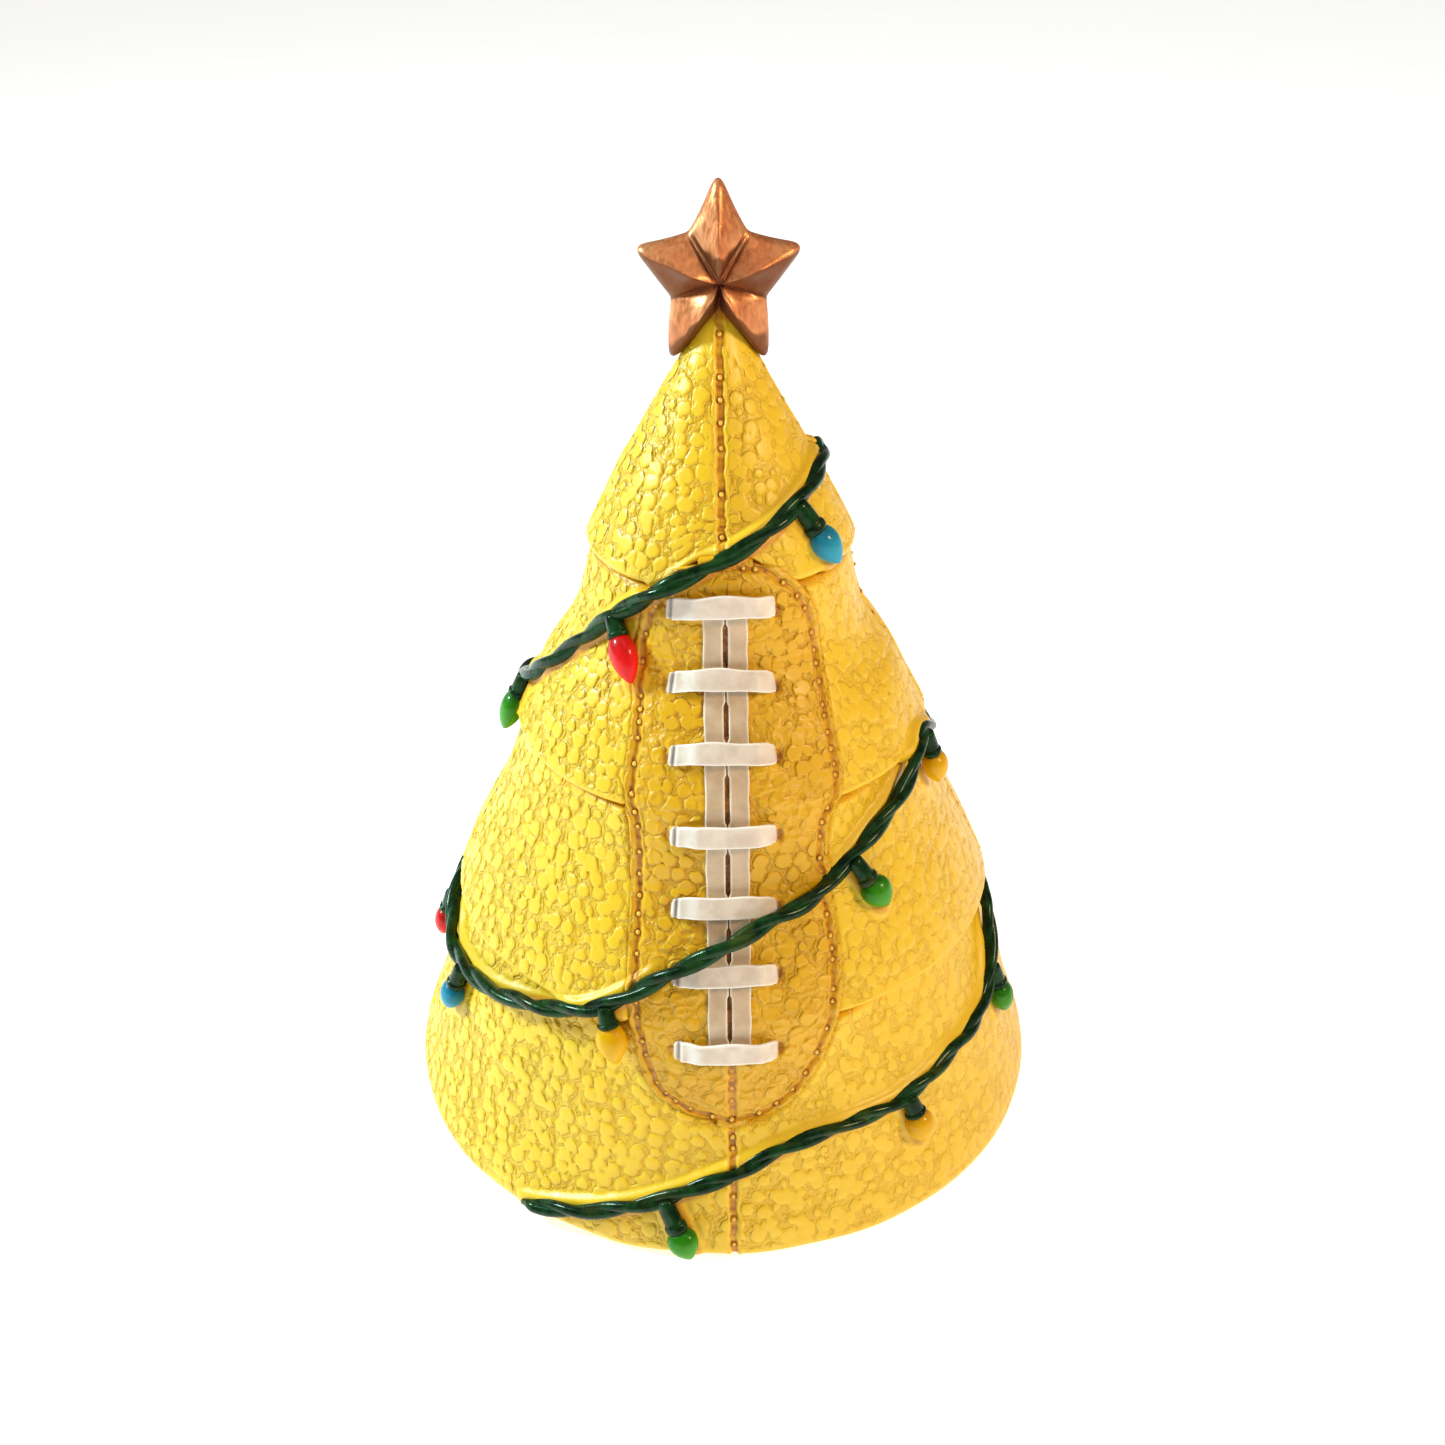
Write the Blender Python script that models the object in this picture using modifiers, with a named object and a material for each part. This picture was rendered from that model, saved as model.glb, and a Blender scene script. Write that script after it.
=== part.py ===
"""Tabletop Christmas tree in four bell-shaped tiers of stitched football leather, laced down the front.

Sizes are in millimetres and angles in degrees until they reach Blender, which works in metres. The tree
stands on z = 0 with its axis on Z, and its laces face -Y. Azimuth 0 is the front, and +90 is the +X side.
Heights are above the felt's underside, and a lift is how far a piece stands off the leather.
"""

import math

import bmesh
import bpy
import numpy as np
from mathutils import Matrix, Vector

MM = 0.001
GAP = 0.3
OBJECT_NAME = "football_tree"

# The four tiers, top to bottom: (height, outer radius) from the neck down to the start of the lip's round.
TIER_SLOPES = (
    ((133.0, 2.7), (124.4, 7.3), (112.6, 14.1), (104.8, 18.2), (100.4, 20.2)),
    ((98.5, 19.7), (88.2, 22.4), (79.1, 28.0), (73.0, 31.1), (70.0, 32.6)),
    ((68.1, 31.4), (57.8, 35.3), (48.7, 40.0), (42.6, 43.0), (39.5, 44.3)),
    ((37.6, 42.6), (24.7, 47.0), (13.3, 50.4), (5.7, 53.1), (2.0, 54.0)),
)
LIPS = ((98.9, 20.4), (68.5, 32.9), (38.0, 44.6), (0.5, 54.0))
LIP_ROUND = 1.2
WALL = 3.2
LIP_DEPTH = 4.2
BORE_RISE = 3.4
SPIGOT_RISE = 2.5
SPIGOT_WALL = 3.0
TURN_STEPS = 40

# The underside.
FELT_RADIUS = 49.4
FELT_THICKNESS = 1.0

# The star: tip radius at each of five angles from straight up, and the valleys between them.
STAR_CENTRE = 138.7
STAR_TIPS = ((0.0, 13.5), (70.0, 12.3), (150.0, 13.4), (210.0, 13.4), (290.0, 12.3))
STAR_VALLEYS = ((33.0, 7.7), (111.0, 7.5), (180.0, 5.4), (249.0, 7.5), (327.0, 7.7))
STAR_EDGE = 1.6
STAR_CROWN = 3.8
PIN_RADIUS = 1.1
PIN_BOTTOM = 122.0
PIN_TOP = 141.5
PIN_SIDES = 16

# The laces: two strips down the front, under seven cross bars.
STRIP_WIDTH = 2.9
STRIP_SLOT = 0.9
SLOT_X = 0.3
STRIP_LIFT = 0.4
STRIP_SPAN = (34.0, 98.2)
BAR_HEIGHTS = (97.0, 86.0, 77.0, 66.0, 55.0, 46.0, 35.0)
BAR_LENGTH = 15.8
BAR_WIDTH = 3.2
BAR_X = -0.3
BAR_ARCH = 1.2
BAR_SHOULDER = 2.4
BAR_DROOP = 0.65
LEVEL_SAG = 0.7
LACE_THICKNESS = 0.8

# The light string: (azimuth, height, lift) along its way, unwrapped, from its end on the back near the star.
STRING_RADIUS = 1.1
STRING_POINTS = 80
ROUTE_STEPS = 8
STRING_ROUTE = (
    (190, 104, 1.7), (170, 104, 1.7), (150, 104.6, 1.7), (130, 106.5, 1.7), (112, 110, 1.7), (100, 112.4, 1.7),
    (88, 112.3, 1.7), (74, 112.2, 1.7), (57, 111.2, 1.7), (40, 109.6, 1.7), (24, 107.2, 1.7), (8, 105, 1.7),
    (-8, 102.8, 1.7), (-24, 99.6, 2.8), (-35, 96.4, 1.9), (-47, 93, 1.7), (-60, 88, 1.7), (-72, 82.6, 1.7),
    (-84, 77, 1.7), (-97, 72.8, 1.7), (-112, 70.2, 1.7), (-126, 68, 1.5), (-142, 66.4, 0.5), (-175, 66.4, 0.3),
    (-215, 66.4, 0.3), (-250, 66.4, 0.3), (-268, 66.6, 0.5), (-279, 68.2, 1.5), (-290, 70.8, 1.7),
    (-299, 68.2, 1.7), (-308, 65.2, 1.7), (-320, 62.2, 1.7), (-331, 58.6, 1.7), (-343, 55.8, 3.0),
    (-352, 54.6, 4.3), (-362, 51.4, 4.3), (-371, 47.6, 3.2), (-381, 42.2, 1.8), (-389, 38.6, 1.7),
    (-399, 36.2, 1.7), (-412, 33.3, 1.7), (-425, 31, 1.7), (-437, 30, 1.7), (-446, 32.6, 1.6), (-455, 35, 0.9),
    (-470, 36, 0.2), (-505, 36, 0.1), (-545, 36, 0.1), (-585, 36, 0.1), (-615, 36, 0.1), (-632, 36.3, 0.4),
    (-640, 36, 0.8), (-645, 33.5, 1.6), (-649, 29.6, 1.7), (-654, 25.6, 1.7), (-662, 23.6, 1.7),
    (-674, 22.5, 1.7), (-687, 20.6, 1.7), (-700, 20.3, 1.7), (-710, 18.6, 1.7), (-722, 14.2, 1.7),
    (-736, 8.8, 1.7), (-748, 5, 1.7), (-757, 2.6, 1.7),
)

# Each bulb hangs from the string: (the string's azimuth there, lean towards +X from straight down, colour).
BULBS = (
    (140, 12, "green"), (40, 21, "blue"), (-45, 31, "red"), (-89, 0, "green"), (-125, 15, "yellow"),
    (-163, -10, "blue"), (-203, 14, "red"), (-243, -8, "green"), (-289, 2, "yellow"), (-328, 23, "green"),
    (-384, 16, "yellow"), (-426, -12, "blue"), (-448, -4, "red"), (-486, -12, "green"), (-524, 14, "yellow"),
    (-562, -8, "blue"), (-600, 12, "red"), (-651, 4, "green"), (-685, 12, "yellow"), (-731, 26, "green"),
)
# Turned profiles along the hanging axis: (distance from the top, radius).
SOCKET_PROFILE = ((0.0, 1.0), (0.4, 1.35), (1.5, 1.4), (1.6, 1.65), (2.3, 1.65))
BULB_PROFILE = ((0.0, 1.25), (1.0, 1.95), (2.5, 2.35), (4.2, 2.1), (5.8, 1.3), (7.0, 0.3))
SOCKET_STEPS = 8
BULB_STEPS = 10
SOCKET_START = 1.6
SOCKET_LIFT = 1.9
BULB_LIFT = 3.3

# name: (base colour, roughness, metallic)
MATERIALS = {
    "yellow_leather": ((0.84, 0.53, 0.02), 0.45, 0.0),
    "copper_paint": ((0.46, 0.17, 0.07), 0.35, 0.7),
    "white_lace": ((0.82, 0.78, 0.76), 0.4, 0.0),
    "green_string": ((0.012, 0.07, 0.03), 0.3, 0.0),
    "bulb_red": ((0.72, 0.02, 0.03), 0.2, 0.0),
    "bulb_blue": ((0.02, 0.27, 0.5), 0.2, 0.0),
    "bulb_green": ((0.07, 0.45, 0.03), 0.2, 0.0),
    "bulb_yellow": ((0.84, 0.55, 0.02), 0.25, 0.0),
    "resin": ((0.7, 0.66, 0.58), 0.6, 0.0),
    "steel": ((0.5, 0.5, 0.5), 0.35, 1.0),
    "felt": ((0.02, 0.09, 0.04), 0.95, 0.0),
}


# --- the leather's outline, and places on it ---


def lip_arc(tier):
    """The quarter round of a tier's lip, from its widest point to its underside."""
    height, radius = LIPS[tier]
    turns = (0.0, math.pi / 6, math.pi / 3, math.pi / 2)
    return [
        (height + LIP_ROUND * (1 - math.sin(turn)), radius - LIP_ROUND * (1 - math.cos(turn)))
        for turn in turns
    ]


def cover_radius(height):
    """The radius of what lies over the tiers: it runs straight from each lip to the slope below."""
    points = list(TIER_SLOPES[0]) + [LIPS[0]]
    for slope, lip in zip(TIER_SLOPES[1:], LIPS[1:]):
        points += list(slope[1:]) + [lip]
    heights, radii = zip(*reversed(points))
    return float(np.interp(height, heights, radii))


def on_tree(azimuth, height, lift):
    """The point in metres at this azimuth and height, standing off the leather by lift."""
    radius = cover_radius(height) + lift
    turn = math.radians(azimuth)
    return Vector((radius * math.sin(turn), -radius * math.cos(turn), height)) * MM


# --- objects ---


def clear_scene():
    for obj in list(bpy.data.objects):
        bpy.data.objects.remove(obj, do_unlink=True)


def new_collection(name):
    collection = bpy.data.collections.new(name)
    bpy.context.scene.collection.children.link(collection)
    return collection


def new_material(name):
    colour, roughness, metallic = MATERIALS[name]
    material = bpy.data.materials.new(name)
    material.use_nodes = True
    shader = material.node_tree.nodes["Principled BSDF"]
    shader.inputs["Base Color"].default_value = (*colour, 1.0)
    shader.inputs["Roughness"].default_value = roughness
    shader.inputs["Metallic"].default_value = metallic
    material.diffuse_color = (*colour, 1.0)
    return material


def add_object(name, data, collection, material=None):
    obj = bpy.data.objects.new(name, data)
    collection.objects.link(obj)
    if material:
        data.materials.append(material)
    return obj


def mesh_from(bm, name):
    mesh = bpy.data.meshes.new(name)
    bm.to_mesh(mesh)
    bm.free()
    return mesh


def turned(name, profile, steps, collection, material, closed):
    """A profile of (radius, height) points turned round Z; a closed one ends where it starts."""
    mesh = bpy.data.meshes.new(name)
    edges = [(i, i + 1) for i in range(len(profile) - 1)]
    if closed:
        edges.append((len(profile) - 1, 0))
    mesh.from_pydata([(radius * MM, 0.0, height * MM) for radius, height in profile], edges, [])
    obj = add_object(name, mesh, collection, material)
    screw = obj.modifiers.new("Turn", "SCREW")
    screw.angle = math.tau
    screw.steps = steps
    screw.render_steps = steps
    screw.use_merge_vertices = True
    screw.merge_threshold = 1e-6
    screw.use_smooth_shade = True
    return obj


def add_disc(name, radius, bottom, thickness, collection, material):
    bm = bmesh.new()
    bmesh.ops.create_cone(
        bm, cap_ends=True, segments=TURN_STEPS, radius1=radius * MM, radius2=radius * MM, depth=thickness * MM
    )
    obj = add_object(name, mesh_from(bm, name), collection, material)
    obj.location.z = (bottom + thickness / 2) * MM
    return obj


# --- the tree ---


def tier_profile(tier):
    """The closed outline of one hollow tier: down its outside, round the lip, and up the bore inside."""
    slope = TIER_SLOPES[tier]
    lip_height, lip_radius = LIPS[tier]
    outside = [(radius, height) for height, radius in slope]
    lip = [(radius, height) for height, radius in lip_arc(tier)]
    bore = lip_radius - LIP_DEPTH
    bore_top = lip_height + BORE_RISE
    inside = [(bore, lip_height), (bore, bore_top)]
    for height, radius in reversed(slope[1:]):
        if height > bore_top + GAP and radius - WALL > PIN_RADIUS + GAP:
            inside.append((min(radius - WALL, bore - GAP), height))
    top_height = slope[0][0]
    if tier == 0:
        pin_bore = PIN_RADIUS + GAP
        inside += [(pin_bore, top_height - WALL * 2), (pin_bore, top_height)]
        return outside + lip + inside
    spigot = LIPS[tier - 1][1] - LIP_DEPTH - GAP
    inner = spigot - SPIGOT_WALL
    inside += [(inner, top_height - WALL), (inner, top_height + SPIGOT_RISE)]
    inside += [(spigot, top_height + SPIGOT_RISE), (spigot, top_height)]
    return outside + lip + inside


def add_tiers(collection, leather):
    for tier in range(len(LIPS)):
        turned(f"tree_tier_{tier + 1}", tier_profile(tier), TURN_STEPS, collection, leather, closed=True)


def add_underside(collection, resin, felt):
    """The base plate sits in the bottom tier's bore, and the felt under it is what the tree stands on."""
    add_disc("felt_pad", FELT_RADIUS, 0.0, FELT_THICKNESS, collection, felt)
    plate_bottom = FELT_THICKNESS + GAP
    plate_top = LIPS[-1][0] + BORE_RISE - GAP
    plate_radius = LIPS[-1][1] - LIP_DEPTH - GAP
    add_disc("base_plate", plate_radius, plate_bottom, plate_top - plate_bottom, collection, resin)


# --- the star ---


def add_star(collection, cutters, copper, steel):
    """A plump five-pointed star, crowned front and back, that straddles the tree's tip on a pin."""
    corners = sorted(STAR_TIPS + STAR_VALLEYS)
    bm = bmesh.new()
    bmesh.ops.create_cone(
        bm, cap_ends=True, segments=len(corners), radius1=1.0, radius2=1.0, depth=2 * STAR_EDGE * MM
    )
    step = math.tau / len(corners)
    for vertex in bm.verts:
        place = round(math.atan2(vertex.co.x, vertex.co.y) / step) % len(corners)
        angle, radius = corners[place]
        vertex.co.x = radius * MM * math.sin(math.radians(angle))
        vertex.co.y = radius * MM * math.cos(math.radians(angle))
    caps = [face for face in bm.faces if abs(face.normal.z) > 0.5]
    poked = bmesh.ops.poke(bm, faces=caps)
    for vertex in poked["verts"]:
        side = math.copysign(1.0, vertex.co.z)
        vertex.co = Vector((0.0, 0.0, side * (STAR_EDGE + STAR_CROWN) * MM))
    star = add_object("star_topper", mesh_from(bm, "star_topper"), collection, copper)
    star.rotation_euler.x = math.pi / 2
    star.location.z = STAR_CENTRE * MM

    (top_height, top_radius), (low_height, low_radius) = TIER_SLOPES[0][:2]
    clear = 2 * GAP
    bm = bmesh.new()
    bmesh.ops.create_cone(
        bm, cap_ends=True, segments=TURN_STEPS, radius1=(low_radius + clear) * MM,
        radius2=(top_radius + clear) * MM, depth=(top_height - low_height) * MM,
    )
    saddle = add_object("saddle_cutter", mesh_from(bm, "saddle_cutter"), cutters)
    saddle.location.z = ((top_height + low_height) / 2 + GAP) * MM
    bm = bmesh.new()
    bmesh.ops.create_cone(
        bm, cap_ends=True, segments=PIN_SIDES, radius1=(PIN_RADIUS + GAP) * MM, radius2=(PIN_RADIUS + GAP) * MM,
        depth=(PIN_TOP + GAP - low_height) * MM,
    )
    pin_hole = add_object("pin_hole_cutter", mesh_from(bm, "pin_hole_cutter"), cutters)
    pin_hole.location.z = (PIN_TOP + GAP + low_height) / 2 * MM
    for cutter in (saddle, pin_hole):
        cutter.hide_render = True
        cutter.display_type = "WIRE"
        cut = star.modifiers.new("Cut", "BOOLEAN")
        cut.operation = "DIFFERENCE"
        cut.object = cutter

    bm = bmesh.new()
    bmesh.ops.create_cone(
        bm, cap_ends=True, segments=PIN_SIDES, radius1=PIN_RADIUS * MM, radius2=PIN_RADIUS * MM,
        depth=(PIN_TOP - PIN_BOTTOM) * MM,
    )
    pin = add_object("star_pin", mesh_from(bm, "star_pin"), collection, steel)
    pin.location.z = (PIN_TOP + PIN_BOTTOM) / 2 * MM


# --- the laces ---


def add_ribbon(name, x_span, height_span, columns, rows, lift_at, droop, collection, material):
    """A thin band that follows the leather; lift_at gives how far it stands off at each x.

    The further round the leather it reaches, the lower it hangs, by droop times how far the leather falls back."""
    bm = bmesh.new()
    bmesh.ops.create_grid(bm, x_segments=columns, y_segments=rows, size=0.5)
    for vertex in bm.verts:
        x = x_span[0] + (vertex.co.x + 0.5) * (x_span[1] - x_span[0])
        height = height_span[0] + (vertex.co.y + 0.5) * (height_span[1] - height_span[0])
        cover = cover_radius(height)
        height -= droop * (cover - math.sqrt(cover**2 - x**2) - LEVEL_SAG)
        radius = cover_radius(height) + lift_at(x)
        vertex.co = Vector((x, -math.sqrt(radius**2 - x**2), height)) * MM
    ribbon = add_object(name, mesh_from(bm, name), collection, material)
    thicken = ribbon.modifiers.new("Thickness", "SOLIDIFY")
    thicken.thickness = LACE_THICKNESS * MM
    thicken.offset = 1.0
    return ribbon


def bar_lift(x):
    """A cross bar stands over the strips and comes down to the leather at both ends."""
    from_middle = min(abs(x - BAR_X) / (BAR_LENGTH / 2), 1.0)
    return STRIP_LIFT + BAR_ARCH * min(1.0, BAR_SHOULDER * (1.0 - from_middle))


def add_laces(collection, lace):
    strip_middle = (STRIP_SLOT + STRIP_WIDTH) / 2
    for side, name in ((-1, "lace_strip_left"), (1, "lace_strip_right")):
        middle = SLOT_X + side * strip_middle
        span = (middle - STRIP_WIDTH / 2, middle + STRIP_WIDTH / 2)
        add_ribbon(name, span, STRIP_SPAN, 2, 20, lambda x: STRIP_LIFT, 0.0, collection, lace)
    bar_span = (BAR_X - BAR_LENGTH / 2, BAR_X + BAR_LENGTH / 2)
    for number, height in enumerate(BAR_HEIGHTS, start=1):
        heights = (height - BAR_WIDTH / 2, height + BAR_WIDTH / 2)
        add_ribbon(f"lace_bar_{number}", bar_span, heights, 12, 2, bar_lift, BAR_DROOP, collection, lace)


# --- the light string and its bulbs ---


def smooth_route():
    """The string's way as a Catmull-Rom curve through its route, at even steps along the curve."""
    route = np.array(STRING_ROUTE, float)
    ends = np.vstack([2 * route[0] - route[1], route, 2 * route[-1] - route[-2]])
    shares = np.linspace(0.0, 1.0, ROUTE_STEPS, endpoint=False)[:, None]
    stretches = []
    for before, start, stop, after in zip(ends[:-3], ends[1:-2], ends[2:-1], ends[3:]):
        stretches.append(
            0.5 * (
                2 * start
                + (stop - before) * shares
                + (2 * before - 5 * start + 4 * stop - after) * shares**2
                + (3 * start - before - 3 * stop + after) * shares**3
            )
        )
    curve = np.vstack(stretches + [route[-1:]])
    places = np.array([on_tree(*point) for point in curve])
    steps = np.linalg.norm(np.diff(places, axis=0), axis=1)
    along = np.concatenate([[0.0], np.cumsum(steps)])
    even = np.linspace(0.0, along[-1], STRING_POINTS)
    return np.column_stack([np.interp(even, along, curve[:, axis]) for axis in range(3)])


def add_string(collection, green):
    curve = bpy.data.curves.new("light_string", "CURVE")
    curve.dimensions = "3D"
    curve.bevel_depth = STRING_RADIUS * MM
    curve.bevel_resolution = 2
    curve.use_fill_caps = True
    spline = curve.splines.new("POLY")
    places = [on_tree(*point) for point in smooth_route()]
    spline.points.add(len(places) - 1)
    for point, place in zip(spline.points, places):
        point.co = (*place, 1.0)
    add_object("light_string", curve, collection, green)


def hanging_axis(azimuth, lean):
    """Where a socket starts under the string, and the direction in which it and its bulb hang."""
    route = smooth_route()[::-1]
    height = float(np.interp(azimuth, route[:, 0], route[:, 1]))
    string_lift = float(np.interp(azimuth, route[:, 0], route[:, 2]))
    reach = SOCKET_START + SOCKET_PROFILE[-1][0] + BULB_PROFILE[-1][0]
    steepness = math.atan2(cover_radius(height - reach) - cover_radius(height), reach)
    drop = reach * math.cos(math.radians(lean)) * math.cos(steepness)
    middle_radius = cover_radius(height - reach / 2)
    swing = math.degrees(reach * math.sin(math.radians(lean)) / middle_radius)
    start = on_tree(azimuth, height, string_lift + SOCKET_LIFT - STRING_RADIUS)
    end = on_tree(azimuth + swing, height - drop, BULB_LIFT)
    direction = (end - start).normalized()
    return start + direction * SOCKET_START * MM, direction


def add_hanging(name, profile, steps, start, direction, collection, material):
    """A piece turned round the axis it hangs on, with flat or pointed ends."""
    outline = [(0.0, -profile[0][0])] + [(radius, -depth) for depth, radius in profile]
    outline.append((0.0, -profile[-1][0]))
    obj = turned(name, outline, steps, collection, material, closed=False)
    obj.matrix_world = Matrix.Translation(start) @ direction.to_track_quat("-Z", "Y").to_matrix().to_4x4()
    return obj


def add_bulbs(collection, materials):
    socket_length = SOCKET_PROFILE[-1][0]
    for number, (azimuth, lean, colour) in enumerate(BULBS, start=1):
        start, direction = hanging_axis(azimuth, lean)
        add_hanging(
            f"socket_{number:02d}", SOCKET_PROFILE, SOCKET_STEPS, start, direction, collection,
            materials["green_string"],
        )
        bulb_start = start + direction * (socket_length + GAP) * MM
        add_hanging(
            f"bulb_{number:02d}_{colour}", BULB_PROFILE, BULB_STEPS, bulb_start, direction, collection,
            materials[f"bulb_{colour}"],
        )


def main():
    clear_scene()
    parts = new_collection(OBJECT_NAME)
    cutters = new_collection("cutters")
    materials = {name: new_material(name) for name in MATERIALS}
    add_tiers(parts, materials["yellow_leather"])
    add_underside(parts, materials["resin"], materials["felt"])
    add_star(parts, cutters, materials["copper_paint"], materials["steel"])
    add_laces(parts, materials["white_lace"])
    add_string(parts, materials["green_string"])
    add_bulbs(parts, materials)


main()
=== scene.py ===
"""The looks of a tabletop Christmas tree cast as stitched football leather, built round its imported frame.

Lengths are in millimetres and angles in degrees until they reach Blender, which works in metres. The tree
stands on z = 0 with its axis on Z, and its laces face -Y. Azimuth 0 is the front, and +90 is the +X side.
Heights are above the floor, and a lift is how far something stands off the leather.
"""

import math

import bpy
import numpy as np
from mathutils import Matrix, Vector, kdtree


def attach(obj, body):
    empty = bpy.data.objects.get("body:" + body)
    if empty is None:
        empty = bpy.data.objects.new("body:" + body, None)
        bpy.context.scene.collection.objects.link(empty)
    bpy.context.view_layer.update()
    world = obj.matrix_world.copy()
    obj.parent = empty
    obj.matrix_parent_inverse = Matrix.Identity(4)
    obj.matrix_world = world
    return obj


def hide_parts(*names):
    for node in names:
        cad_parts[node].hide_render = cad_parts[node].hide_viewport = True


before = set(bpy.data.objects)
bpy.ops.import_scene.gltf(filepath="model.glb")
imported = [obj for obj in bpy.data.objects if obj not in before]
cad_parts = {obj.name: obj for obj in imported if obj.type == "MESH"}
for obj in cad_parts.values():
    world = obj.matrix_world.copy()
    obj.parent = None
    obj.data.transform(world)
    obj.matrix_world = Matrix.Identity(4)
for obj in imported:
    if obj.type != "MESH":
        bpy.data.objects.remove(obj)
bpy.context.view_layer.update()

MM = 0.001

# The four tiers from the top, as the frame has them: (height, outer radius) from the neck to the lip.
TIER_SLOPES = (
    ((135.1, 1.75), (133.0, 2.7), (124.4, 7.3), (112.6, 14.1), (104.8, 18.2), (100.4, 20.2)),
    ((98.5, 19.7), (88.2, 22.4), (79.1, 28.0), (73.0, 31.1), (70.0, 32.6)),
    ((68.1, 31.4), (57.8, 35.3), (48.7, 40.0), (42.6, 43.0), (39.5, 44.3)),
    ((37.6, 42.6), (24.7, 47.0), (13.3, 50.4), (5.7, 53.1), (2.0, 54.0)),
)
LIPS = ((98.9, 20.4), (68.5, 32.9), (38.0, 44.6), (0.5, 54.0))
LIP_ROUND = 1.2
LIP_DEPTH = 4.2
WALL = 3.2
LEAST_BORE = 1.4
TIER_COLUMNS = (640, 800, 860, 880)
ROW_STEPS = (0.32, 0.34, 0.36, 0.4)
SEAM_CROWDING = 1.8
SEAM_CROWD_WIDTH = 1.6

# The leather's grain, and how it gives way to what lies on it.
PEBBLE_PITCH = 2.65
PEBBLE_ROW = 2.28
PEBBLE_RADIUS = 1.21
PEBBLE_JITTER = 0.3
PEBBLE_RISE = 0.21
PEBBLE_SCALLOP = 0.12
SMALL_SHARE = 0.28
LIP_BAND = 1.3
GRAIN_BUMP = 0.16

# Seams: the azimuth of each, and the stitches' sizes.
SIDE_SEAMS = (90.0, 180.0, 270.0)
LOWER_SEAM = 0.7
TIER_SEAMS = ((0.0, *SIDE_SEAMS), SIDE_SEAMS, SIDE_SEAMS, (LOWER_SEAM, *SIDE_SEAMS))
SEAM_WIDTH = 0.58
PANEL_SEAM_WIDTHS = (0.5, 0.36)
SEAM_DEPTH = 0.3
SEAM_RIDGE = 0.12
BEAD_RADIUS = 0.36
BEAD_RING = 0.5
TOP_BEAD = 128.0
UPPER_BEADS = (131.6, 126.2, 123.4, 120.6, 117.5, 111.8, 106.4)
LOWER_BEADS = (31.6, 29.9, 28.6, 26.4, 20.4, 18.6, 13.2, 10.8, 7.2, 3.0)

# The top tier's lip rises to a notch over the front seam.
NOTCH_RISE = 5.2
NOTCH_HALF_WIDTH = 20.0
NOTCH_REACH = 14.0

# The stitched panel under the laces: (height, left x, right x) down its two edges.
PANEL_EDGE = (
    (102.6, -1.0, 2.0), (101.5, -5.5, 6.5), (98.0, -8.6, 10.2), (94.0, -10.6, 12.4), (88.5, -11.7, 13.4),
    (80.0, -12.4, 14.8), (71.0, -13.7, 16.4), (66.0, -12.9, 14.3), (58.0, -12.8, 14.2), (48.0, -13.4, 15.8),
    (40.0, -13.6, 15.8), (34.0, -12.5, 14.0), (29.0, -10.8, 11.2), (26.0, -7.9, 8.2), (24.0, -3.4, 4.6),
    (23.2, 0.6, 0.6),
)
PANEL_MARGIN = 2.3
PANEL_STEP = 0.2
PANEL_COLUMNS = 180
PANEL_BACK = 1.8
TUCK_DEPTH = 1.4

# The laces: two strips down the front, under seven cross bars.
STRIP_WIDTH = 2.8
SLOT_X = 0.3
SLIT_HALF_WIDTH = 0.27
STRIP_SPAN = (34.0, 98.2)
BAR_HEIGHTS = (97, 86, 77, 66, 55, 46, 35)
BAR_LENGTH = 15.8
BAR_WIDTH = 3.2
BAR_X = -0.3
BAR_ARCH = 1.0
BAR_DROOP = 0.65
LEVEL_SAG = 0.7
LACE_THICKNESS = 0.8

# The light string: (azimuth, height, lift) along its way, unwrapped, from its end on the back near the star.
STRING_ROUTE = (
    (190, 104, 1.7), (170, 104, 1.7), (150, 104.6, 1.7), (130, 106.5, 1.7), (112, 110, 1.7),
    (100, 112.4, 1.7), (88, 112.3, 1.7), (74, 112.2, 1.7), (57, 111.2, 1.7), (40, 109.6, 1.7),
    (24, 107.2, 1.7), (8, 105, 1.7), (-8, 102.8, 1.7), (-24, 99.6, 2.8), (-35, 96.4, 1.9),
    (-47, 93, 1.7), (-60, 88, 1.7), (-72, 82.6, 1.7), (-84, 77, 1.7), (-97, 72.8, 1.7),
    (-112, 70.2, 1.7), (-126, 68, 1.5), (-142, 66.4, 0.5), (-175, 66.4, 0.3), (-215, 66.4, 0.3),
    (-250, 66.4, 0.3), (-268, 66.6, 0.5), (-279, 67.6, 1.3), (-290, 69.9, 1.5), (-299, 68.2, 1.7),
    (-308, 65.2, 1.7), (-320, 62.2, 1.7), (-331, 58.6, 1.7), (-343, 55.8, 3.0), (-352, 54.6, 4.3),
    (-362, 51.4, 4.3), (-371, 47.6, 3.2), (-381, 42.2, 1.8), (-389, 38.6, 1.7), (-399, 36.2, 1.7),
    (-412, 33.3, 1.7), (-425, 31, 1.7), (-437, 30, 1.7), (-446, 32.6, 1.6), (-455, 35, 0.9),
    (-470, 36, 0.2), (-505, 36, 0.1), (-545, 36, 0.1), (-585, 36, 0.1), (-615, 36, 0.1),
    (-632, 36.3, 0.4), (-640, 36, 0.8), (-645, 33.5, 1.6), (-649, 29.6, 1.7), (-654, 25.6, 1.7),
    (-662, 23.6, 1.7), (-674, 22.5, 1.7), (-687, 20.6, 1.7), (-700, 20.3, 1.7), (-710, 18.6, 1.7),
    (-722, 14.2, 1.7), (-736, 8.8, 1.7), (-748, 5, 1.7), (-757, 2.6, 1.7),
)
STRING_SINK = 0.75
CREASE_SINK = 0.8
STRING_SWELL = 0.95
BULB_SWELL = 0.6
STRAND_RADIUS = 0.92
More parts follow.
